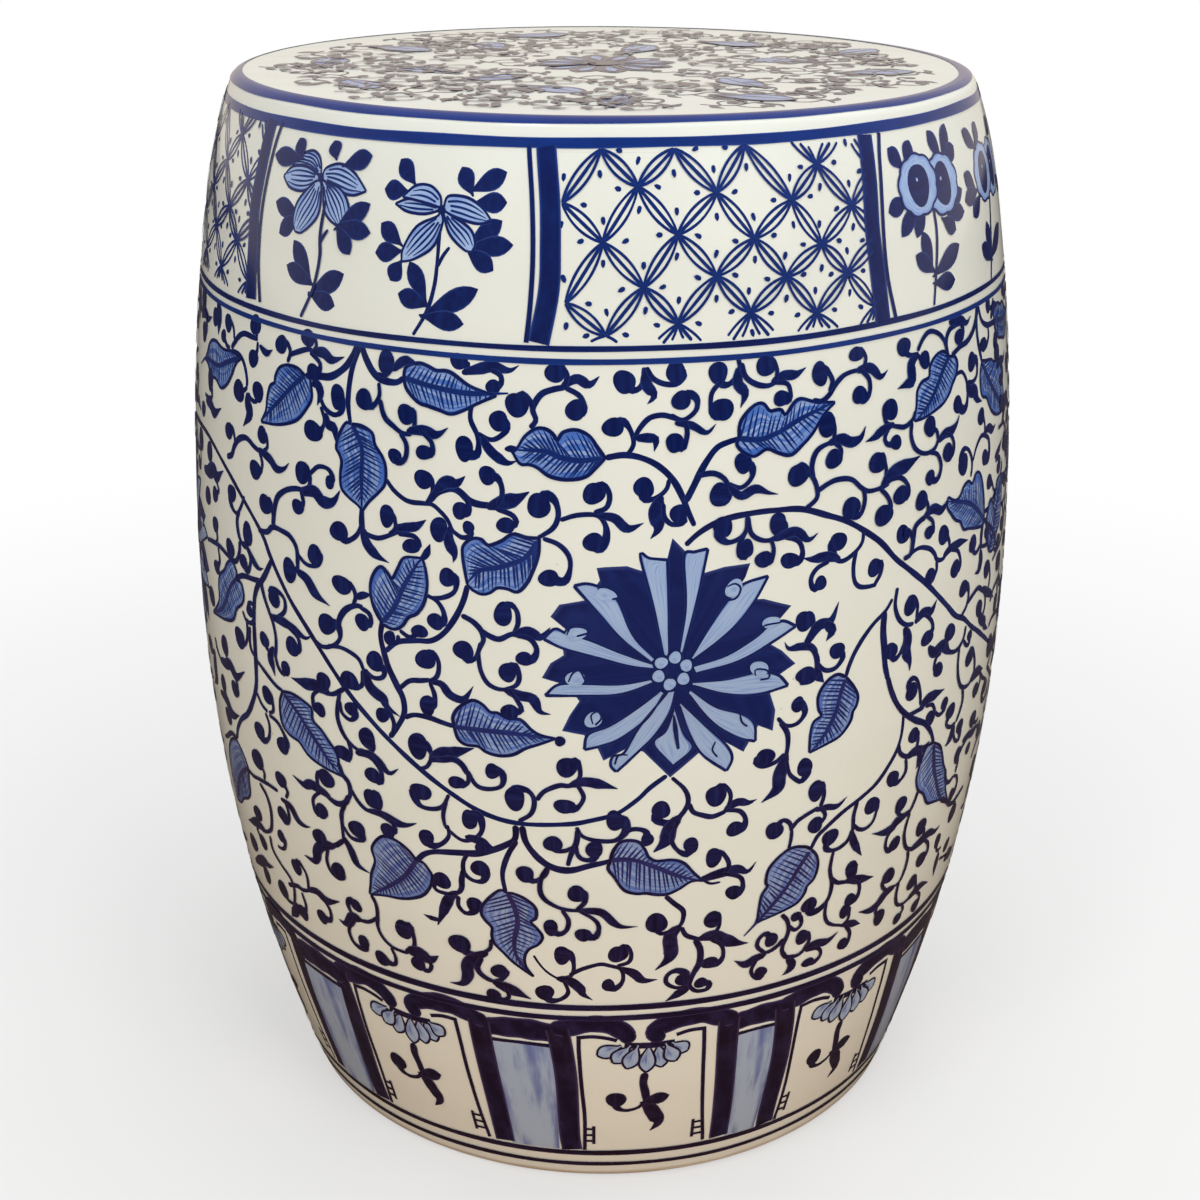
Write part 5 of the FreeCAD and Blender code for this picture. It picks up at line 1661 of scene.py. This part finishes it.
TWINS = """
stem 1.5 48.7 419,49 410,48.6 400,47.3 383
stem 1.5 68.5 416,67.5 405,66.8 395,65.5 383
leaf 7.4 43 435,40.8 442
leaf 7.4 44 436,45.5 443.5
leaf 7.4 52 436,50 445.5
leaf 7.4 53 436,55.2 446.5
leaf 7.4 53.5 434,56.5 438
leaf 7.4 43 423,39.4 420
leaf 7.4 45 421,41.5 410.5
leaf 7.4 46.5 421,44.5 409
leaf 7.4 52 417,57 422
leaf 7.4 52 415.5,57 413.5
leaf 7.4 51 413,54 408
leaf 7.4 47.3 398,45.8 411
leaf 7.4 47.6 396,44 403
leaf 8.2 48.6 395,54.6 402.5
leaf 7.4 48.2 391,52.8 390
leaf 7.4 64 435,60.3 442
leaf 7.4 65 436,67 443
leaf 7.4 61.5 420,58.3 427
leaf 7.4 62 419,57.6 417
leaf 7.4 63 416,60 410
leaf 7.4 66.5 392,65 406
leaf 7.4 66.2 391,62.3 398
leaf 8.2 67 392,73.3 401
leaf 7.4 74 436,77 441
leaf 7.4 75.5 418,79 412
"""
TWIN_CENTRES = ((51.6, 426.0), (46.0, 427.5), (72.2, 424.0), (66.5, 424.5))
TWIN_REACH, TWIN_SCALLOP, TWIN_EYE = (12.4, 10.6), 0.07, 7.4
PANEL_TURNS = (0.0, 180.0)
LATTICE_TURNS = (0.0, 90.0, 180.0, 271.0)
# How far each strand bows out from the straight one and how wide it is, where the dabs lie from a
# crossing, and how far they stray, in degrees and millimetres.
LATTICE_STRANDS = ((0.0, 1.3), (2.5, 1.05), (-2.5, 1.05))
LATTICE_DABS = ((2.5, 0), (-2.5, 0), (0, 7.6), (0, -7.6))
DAB_STRAY = (0.25, 0.8)
VEIN_GAP = 2.1


def paint_lattice(line, turn):
    """Crossed lines between the bars of a panel, each with two bows that meet on its ends, and four
    short dabs round every crossing."""
    rows = [read_points(row) for row in read_lines(LATTICE_ROWS)]
    for number, (row, below) in enumerate(zip(rows, rows[1:])):
        for column, crossing in enumerate(row):
            for other in (column, column + 1) if number % 2 else (column - 1, column):
                if 0 <= other < len(below):
                    paint_strands(line, np.array([crossing, below[other]]), turn)
            for across, up in LATTICE_DABS:
                dab = crossing + [across, up] + RNG.uniform(-1, 1, 2) * DAB_STRAY
                lean = RNG.uniform(-0.5, 0.5)
                reach = np.array([0.42, 1.3 * lean] if across else [0.42 * lean, 1.4])
                ends = np.array([dab - reach, dab + reach])
                if inside_lattice(ends).all():
                    line.stroke(on_paper(ends + [turn, 0]), 1.7, taper=(0.4, 1.0))


def inside_lattice(points):
    across = (points[:, 0] > LATTICE_LEFT) & (points[:, 0] < LATTICE_RIGHT)
    return across & (points[:, 1] > BAND_LOW) & (points[:, 1] < BAND_HIGH)


def paint_strands(line, ends, turn):
    """The strands between two crossings, cut off where they leave the panel: a bow's way out grows
    as a power of the sine of half a turn."""
    flat = on_paper(ends)
    axis = flat[1] - flat[0]
    side = np.array([-axis[1], axis[0]]) / np.hypot(*axis)
    share = np.linspace(0, 1, 9)[:, None]
    for offset, width in LATTICE_STRANDS:
        path = flat[0] + axis * share + side * offset * np.sin(math.pi * share) ** 0.8
        kept = path[inside_lattice(path / [DEGREE, 1.0])]
        if len(kept) > 2:
            line.stroke(kept + [turn * DEGREE, 0], width, taper=(1.0, 1.0))


def paint_round_flower(centre, fill, line, turn):
    """A scalloped pale disc with an outline, and a dark round eye."""
    middle = on_paper([np.array(centre) + [turn, 0]])[0]
    angle = np.linspace(0, 2 * math.pi, 73)
    rim = 1 + TWIN_SCALLOP * np.abs(np.sin(4.5 * angle + 0.4))
    wide, tall = TWIN_REACH
    edge = middle + np.stack([wide * rim * np.cos(angle), tall * rim * np.sin(angle)], -1)
    Painting.start_motif(25)
    fill.blot(middle, edge[:-1])
    Painting.next_layer()
    line.stroke(edge, 1.0)
    line.dab(middle, TWIN_EYE, 1.15, math.pi / 2)
    Painting.next_layer()
    fill.dab(middle + [-1.0, 2.0], 0.7)


def paint_veined_petal(left, right, fill, line, hatch):
    """A petal with fine veins that run between its two edges from the base towards the tip."""
    Painting.start_motif(20)
    fill.patch(left, right, rows=14, columns=6)
    Painting.next_layer()
    paths = [smooth_path(edge) for edge in (left, right)]
    lengths = [lengths_along(path)[-1] for path in paths]
    first, second = (resample(path, [length / 2]) for path, length in zip(paths, lengths))
    veins = int(np.linalg.norm(first - second) / VEIN_GAP)
    for across in np.linspace(0, 1, veins + 2)[1:-1]:
        places = np.linspace(RNG.uniform(0.08, 0.2), RNG.uniform(0.74, 0.9), 4)
        first, second = (resample(path, places * length) for path, length in zip(paths, lengths))
        hatch.stroke(first * (1 - across) + second * across, 0.8, taper=(1.0, 0.4))
    for edge in (left, right):
        line.stroke(edge, 1.1, taper=(0.8, 0.8))


def paint_flower_panels(fill, line, hatch, turn):
    """A panel with two asters and, past the next lattice, a panel with pairs of round flowers."""
    paint_notes(ASTERS, line, turn)
    for petal in read_shapes(ASTER_PETALS, 2):
        paint_veined_petal(*(on_paper(edge + [turn, 0]) for edge in petal), fill, line, hatch)
    paint_notes(TWINS, line, turn)
    for centre in TWIN_CENTRES:
        paint_round_flower(centre, fill, line, turn)


def paint_band(dark, mid, pale_wash):
    line = Painting("upper_band", dark, LINE, drum_surface)
    veins = Painting("upper_band_veins", mid, LINE, drum_surface)
    petals = Painting("upper_band_petals", pale_wash, WASH, drum_surface)
    for turn in PANEL_TURNS:
        paint_flower_panels(petals, line, veins, turn)
    for turn in LATTICE_TURNS:
        paint_notes(PANEL_BARS, line, turn)
        paint_lattice(veins, turn)
    return line, veins, petals


# The lappets over the foot

LAPPET_CENTRES = (-29.0, 7.0, 40.5, 76.8, 113.1, 149.4, 185.8, 222.1, 258.4, 294.7)
LAPPET = """
bar 1.9 -2.3 18.6,-2.2 40,-2.6 60,-2.9 80,-2.9 89.5
bar 2 -3.2 89,-1 89.8,1 89,2.5 87.5
bar 1.9 17.5 19.4,16.5 40,15.8 60,15.3 80,15 90.6
bar 2 15.3 90.3,13 90.4,11 88.8
stem 8.2 -7 93.5,-4 94.5,-1 97,1.5 96,3.5 92,4.5 86
stem 8.2 20 92,17 95.5,14.5 98,11 97,8.5 94,7.8 91,9 86
bar 3.4 3.6 84.6,7.2 84,10.8 84.6
bar 10.6 -5.9 93,-5.3 80,-4.8 60,-4.7 30,-4.4 18.6
bar 10.4 18.7 93,18.9 80,19.4 60,19.9 40,20.3 19.4
stem 3.6 6.8 68,6.6 62,7 56,7.3 50
flame 5.4 7 51,8.6 42,9.4 36,8.2 31
hook 4.5 7 50,6 46.5,4.2 45,2.8 47,2.6 52
leaf 7.4 7 50,10.8 53
bar 1.6 -0.8 35,-0.8 23
bar 1.4 -2.2 33,-0.8 33
bar 1.4 -2.2 29,-0.8 29
bar 1.4 -2.2 25,-0.8 25
bar 1.6 15.2 35,15.4 23
bar 1.4 15.2 33,16.6 33
bar 1.4 15.3 29,16.8 29
bar 1.4 15.3 25,17 25
"""
# The lobes of the half lotus in a lappet: their tips, and the point that they fan out from.
LOBE_TIPS = ((-0.3, 79.0), (12.9, 79.0), (2.0, 74.5), (11.2, 73.5), (4.0, 71.0), (9.2, 70.3),
             (6.9, 68.0))
LOBE_ROOT, LOBE_SPREAD, LOBE_WIDTH = (7.2, 84.6), 0.55, 7.6
# The angle that the notes and tips are given round, the angles from the middles of two lappets to the
# blue panel between them, and the panel's lower and upper end.
LAPPET_MIDDLE = 7.0
PANEL_AFTER, PANEL_BEFORE = 13.7, 13.5
PANEL_LOW, PANEL_WAIST, PANEL_HIGH = 18.6, 50.0, 83.0
PANEL_TOP, ARCH_FOOT, ARCH_RISE = 83.3, 90.4, 1.5


def paint_lappet(fill, line, centre, following):
    """One white lappet with its half lotus and sprig, and the blue panel between it and the next."""
    turn = centre - LAPPET_MIDDLE
    paint_notes(LAPPET, line, turn)
    for angle, climb in LOBE_TIPS:
        root = LOBE_ROOT[0] + (angle - LAPPET_MIDDLE) * LOBE_SPREAD + turn
        base, tip = on_paper([[root, LOBE_ROOT[1]], [angle + turn, climb]])
        paint_petal(base, tip, LOBE_WIDTH, fill, line, outline=1.1)
    first, last = centre + PANEL_AFTER, following - PANEL_BEFORE
    middle = (first + last) / 2
    Painting.start_motif(20)
    left = [[first + 0.8, PANEL_LOW], [first, PANEL_WAIST], [first - 0.4, PANEL_HIGH]]
    right = [[last, PANEL_LOW], [last, PANEL_WAIST], [last, PANEL_HIGH]]
    fill.patch(on_paper(left), on_paper(right), rows=14, columns=7)
    top = [[first - 0.6, PANEL_TOP], [middle, PANEL_TOP + 0.5], [last + 0.4, PANEL_TOP]]
    line.stroke(on_paper(top), 2.0)
    arch = [[first - 1.4, ARCH_FOOT], [middle, ARCH_FOOT + ARCH_RISE], [last + 1.4, ARCH_FOOT]]
    line.stroke(on_paper(arch), 11.0)


def paint_lappets(dark, panel_wash):
    line = Painting("lappets", dark, LINE, drum_surface)
    fill = Painting("lappet_panels", panel_wash, WASH, drum_surface)
    following = (*LAPPET_CENTRES[1:], LAPPET_CENTRES[0] + 360)
    for centre, after in zip(LAPPET_CENTRES, following):
        paint_lappet(fill, line, centre, after)
    return line, fill


# The seat

# Places on the maps of ink and wash that the seat's painting takes.
SEAT_INK, SEAT_WASH = 0.42, 0.6
SEAT_SPRAY = """
stem 1.3 -2 -17,3 -10,3 -2,-2 5,-4 12
hook 2.6 3 -3,9 0,12 6,8 10
hook 2.4 2 -9,-6 -8,-10 -3,-8 2
flame 2.6 -3 8,2 12,6 16,12 16
hook 2.2 -4 11,-9 12,-12 17,-8 19
flame 2.4 1 -12,7 -13,12 -10
"""
SPRAY_SCALE, SPRAY_STEM = 0.85, 1.2
# The place and the heading of each leaf, and the radius and the number of sprays of each ring.
SEAT_LEAVES = ((-33, 105, 20), (57, 75, -35), (110, 45, 50), (-115, 0, 85), (-70, -25, 140),
               (-45, -48, 30), (-95, -65, -60), (55, -60, 120), (110, -25, 10), (55, -100, -20),
               (15, 50, 70), (-90, 50, -30), (5, -112, 80), (78, 12, 160), (-20, -78, -40),
               (-50, 62, 100))
LEAF_HALF, LEAF_WIDTH = 17.0, 15.0
LEAF_RIB = "-16 0,0 1,14 0"
SEAT_RINGS = ((44.0, 8), (62.0, 12), (80.0, 15), (97.0, 18), (112.0, 22), (124.0, 26))
# The flower's petals: where each starts and ends from the middle out, and its width.
SEAT_PETALS = 12
DARK_PETAL, PALE_PETAL = (3, 31, 13.0), (9, 27, 5.6)


def turned(points, heading, centre):
    """Points turned by the heading in degrees and moved to the centre."""
    angle = math.radians(heading)
    matrix = np.array([[math.cos(angle), math.sin(angle)], [-math.sin(angle), math.cos(angle)]])
    return np.asarray(points, float) @ matrix + np.asarray(centre, float)


def paint_seat_flower(fill, line):
    """The flower in the middle: dark petals with a pale one on each, and a dark heart."""
    for number in range(SEAT_PETALS):
        heading = math.radians(360 / SEAT_PETALS * number + 9)
        out = np.array([math.cos(heading), math.sin(heading)])
        Painting.start_motif(24)
        start, end, width = DARK_PETAL
        line.patch(*petal_edges(out * start, out * end, width), rows=12, columns=5)
        Painting.next_layer()
        start, end, width = PALE_PETAL
        paint_petal(out * start, out * end, width, fill, line)
    line.dab((0, 0), 7.0)


def paint_seat_leaf(place, heading, fill, line):
    left, right = petal_edges(np.array([-LEAF_HALF, 0.0]), np.array([LEAF_HALF, 0.0]), LEAF_WIDTH)
    edges = [turned(edge, heading, place) for edge in (left, right)]
    Painting.start_motif(14)
    fill.patch(*edges, rows=12, columns=6)
    Painting.next_layer()
    for edge in edges:
        line.stroke(edge, 1.5)
    line.stroke(turned(read_points(LEAF_RIB), heading, place), 1.6, taper=(1.0, 0.3))


def paint_seat(dark, leaf_wash):
    """The seat's painting: a flower in the middle, rings of scrolling sprays turned every way, and
    blue leaves among them."""
    line = Painting("seat_scroll", dark, LINE, seat_surface)
    fill = Painting("seat_leaves", leaf_wash, WASH, seat_surface)
    line.spot, fill.spot = lambda path: SEAT_INK, lambda path: SEAT_WASH
    paint_seat_flower(fill, line)
    for ring, (radius, count) in enumerate(SEAT_RINGS):
        for number in range(count):
            heading = 360.0 * number / count + 17 * ring + RNG.uniform(-5, 5)
            angle = math.radians(heading)
            centre = (radius + RNG.uniform(-5, 5)) * np.array([math.cos(angle), math.sin(angle)])
            spin = heading + 90 * (number % 3) + RNG.uniform(-25, 25)
            paint_notes(SEAT_SPRAY, line, stem=SPRAY_STEM,
                        lay=lambda points: turned(points * SPRAY_SCALE, spin, centre))
    for x, y, heading in SEAT_LEAVES:
        paint_seat_leaf((x, y), heading, fill, line)
    return line, fill


# Rings

# The climb and the width of each ring, how far it climbs to the right, and whether it is bright.
RINGS = (
    ("seat edge, upper strip", 456.9, 3.1, 1.2, True),
    ("seat edge, lower strip", 459.4, 3.1, 1.2, True),
    ("under the edge", 448.9, 3.6, 1.3, True),
    ("over the scroll, upper", 380.4, 2.1, 1.6, False),
    ("over the scroll, lower", 376.0, 2.0, 1.0, True),
    ("under the scroll, upper", 106.0, 3.4, 1.0, False),
    ("under the scroll, lower", 100.2, 3.0, 1.0, False),
    ("foot, upper", 16.8, 3.0, 0.5, False),
    ("foot, lower", 9.2, 2.5, 0.5, False))
RING_PARTS, PART_POINTS = 8, 46
PART_OVERLAP = 1.2


def paint_rings(dark, bright):
    """Each ring is banded on the wheel: it climbs a little to the right, wavers, and its width
    breathes. It is laid as overlapping strokes that each cover part of the turn."""
    line = Painting("painted_rings", dark, LINE, drum_surface)
    light = Painting("painted_rings_bright", bright, LINE, drum_surface)
    for number, (_, climb, width, rise, is_bright) in enumerate(RINGS):
        brush = light if is_bright else line
        for part in range(RING_PARTS):
            start = part * 360 / RING_PARTS - PART_OVERLAP
            end = (part + 1) * 360 / RING_PARTS + PART_OVERLAP
            angle = np.linspace(start, end, PART_POINTS) - 180
            turn = np.radians(angle)
            waver = 0.16 * np.sin(5 * turn + number)
            climbs = climb + rise * np.sin(turn) + waver + 0.09 * np.sin(13 * turn)
            slow = 0.07 * np.sin(4 * turn + 2 * number)
            half = 0.5 * width * (1 + slow + 0.05 * np.sin(17 * turn + number))
            path = np.stack([angle * DEGREE, climbs], -1)
            brush.ribbon(path, half, brush.spot(np.array([[0, climb]])))
    return line, light


# The scene around the stool

WHITE = (1.0, 1.0, 1.0)
FLOOR_SEEN, FLOOR_WARM, FLOOR_MIRRORED = (0.80, 0.80, 0.80), (0.44, 0.31, 0.20), (0.08, 0.06, 0.05)
FLOOR_HALF = 6.0
ROOM_LIGHT, ROOM_FRONT, ROOM_BACK = (0.47, 0.475, 0.48), (0.15, 0.12, 0.09), (0.72, 0.62, 0.52)


def light_paths(tree):
    """Whether a ray comes straight from the camera, and whether it is a reflection."""
    return [node(tree, "ShaderNodeLightPath", {}, {}, output=output) for output in (0, 3)]


def make_stage():
    """A floor that keeps the shadow and is white to the eye. Far from the stool it glows on its own,
    so that the picture's ground stays white, and the light that it throws on the stool is warm."""
    material, tree, shader = start_material("pale_floor")
    camera, glossy = light_paths(tree)
    colour = blend_colours(tree, glossy, FLOOR_WARM, FLOOR_MIRRORED)
    colour = blend_colours(tree, camera, colour, FLOOR_SEEN)
    feed(tree, shader, Base_Color=colour)
    shader.inputs["Roughness"].default_value = 0.9
    shader.inputs["Specular IOR Level"].default_value = 0.1
    place = object_place(tree)
    away = node(tree, "ShaderNodeVectorMath", {"operation": "LENGTH"}, {0: place}, output=1)
    glow = node(tree, "ShaderNodeEmission", {}, {"Color": (*WHITE, 1.0), "Strength": 1.0})
    share = away.over(0.16, 0.95, 0.45, 1.0) * camera
    matt = Shade(tree, shader.outputs[0])
    mixed = node(tree, "ShaderNodeMixShader", {}, {0: share, 1: matt, 2: glow})
    tree.links.new(mixed.socket, tree.nodes["Material Output"].inputs["Surface"])
    corners = FLOOR_HALF * np.array([[-1, -1, 0], [1, -1, 0], [1, 1, 0], [-1, 1, 0]])
    floor = new_piece("floor", corners, np.array([[0, 1, 2, 3]]), materials=[material])


def make_world():
    """A room that lights the stool evenly, is dim in front and light behind where the glaze mirrors
    it, and is white to the eye."""
    world = bpy.data.worlds.new("studio")
    bpy.context.scene.world = world
    world.use_nodes = True
    tree = world.node_tree
    camera, glossy = light_paths(tree)
    way = node(tree, "ShaderNodeTexCoord", {}, {}, output=0)
    room = blend_colours(tree, part_of(tree, way, 1).over(-0.85, 0.5), ROOM_FRONT, ROOM_BACK)
    colour = blend_colours(tree, glossy, ROOM_LIGHT, room)
    colour = blend_colours(tree, camera, colour, WHITE)
    tree.links.new(colour.socket, tree.nodes["Background"].inputs["Color"])


# Each lamp: its place, what it points at, its size in metres, its power, its colour and whether the
# glaze mirrors it.
STOOL_MIDDLE, SEAT_MIDDLE = (0.0, 0.0, 0.24), (0.0, 0.0, 0.4)
SOFT_WHITE = (1.0, 0.99, 0.96)
LAMPS = (
    ("overhead", (0.25, 0.15, 2.0), SEAT_MIDDLE, (1.6, 1.6), 15.0, WHITE, False),
    ("window", (-0.5, -0.9, 1.9), STOOL_MIDDLE, (0.25, 0.3), 2.2, WHITE, True),
    ("front_left", (-1.3, -2.0, 1.2), STOOL_MIDDLE, (1.1, 1.3), 17.0, SOFT_WHITE, False),
    ("front_right", (1.5, -1.9, 1.35), STOOL_MIDDLE, (1.3, 1.3), 26.0, SOFT_WHITE, False))


def make_lamps():
    for name, place, aim, size, power, colour, mirrored in LAMPS:
        lamp = bpy.data.lights.new(name, "AREA")
        lamp.shape, lamp.size, lamp.size_y = "RECTANGLE", *size
        lamp.energy, lamp.color = power, colour
        holder = bpy.data.objects.new(name, lamp)
        heading = Vector((np.array(aim) - np.array(place)).tolist())
        turn = heading.to_track_quat("-Z", "Y").to_matrix().to_4x4()
        holder.matrix_world = Matrix.Translation(place) @ turn
        holder.visible_glossy = mirrored
        bpy.context.scene.collection.objects.link(holder)


# The picture's camera: its place in metres, how far it looks down and leans, and its lens in pixels of
# the picture.
CAMERA_PLACE = (0.0, -0.81964, 0.55442)
CAMERA_PITCH = math.radians(67.47)
CAMERA_ROLL = 0.0044
PHOTO_WIDTH = 1200
FOCAL_PIXELS = 1901.18
PRINCIPAL_X = 601.14


def make_camera():
    lens = bpy.data.cameras.new("camera")
    lens.sensor_width = 36.0
    lens.lens = FOCAL_PIXELS / PHOTO_WIDTH * lens.sensor_width
    lens.shift_x = (PHOTO_WIDTH / 2 - PRINCIPAL_X) / PHOTO_WIDTH
    camera = bpy.data.objects.new("camera", lens)
    turn = Matrix.Rotation(CAMERA_PITCH, 4, "X") @ Matrix.Rotation(CAMERA_ROLL, 4, "Z")
    camera.matrix_world = Matrix.Translation(CAMERA_PLACE) @ turn
    bpy.context.scene.collection.objects.link(camera)
    bpy.context.scene.camera = camera


# The brightness of each ink, and each wash's strength, streaks and grain.
INKS = (("cobalt_deep", 0.0), ("cobalt_mid", 0.4), ("cobalt_bright", 0.6), ("cobalt_deep_blue", 0.1))
WASHES = (("cobalt_wash_leaf", 0.10, 0.85), ("cobalt_wash_pale", 0.0, 0.5),
          ("cobalt_wash_panel", -0.12, 1.0, (9.0, 1.8)))


def make_clay_bodies():
    """The glazed and bare clay. The coils inside keep the shapes that they have in the frame."""
    glaze, clay, foot = glazed_stoneware(), bare_clay(), foot_stoneware()
    make_barrels(glaze, clay)
    make_foot(foot)
    make_seat(glaze, clay)
    for name in ("seat_seam_coil", "waist_seam_coil", "foot_seam_coil"):
        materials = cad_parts[name].data.materials
        materials.clear()
        materials.append(clay)


def make_paintings():
    dark, mid, bright, deep_blue = (ink(*row) for row in INKS)
    leaf_wash, pale_wash, panel_wash = (wash(*row) for row in WASHES)
    paintings = (*paint_scroll("scroll", FRONT, dark, mid, leaf_wash),
                 *paint_scroll("scroll_back", BACK, dark, mid, leaf_wash),
                 *paint_lotuses(deep_blue, pale_wash), *paint_band(dark, mid, pale_wash),
                 *paint_lappets(dark, panel_wash), *paint_seat(dark, leaf_wash),
                 *paint_rings(dark, bright))
    for painting in paintings:
        painting.finish()


def main():
    make_camera()
    bpy.context.scene.view_settings.view_transform = "Standard"
    make_clay_bodies()
    make_paintings()
    make_stage()
    make_world()
    make_lamps()


main()
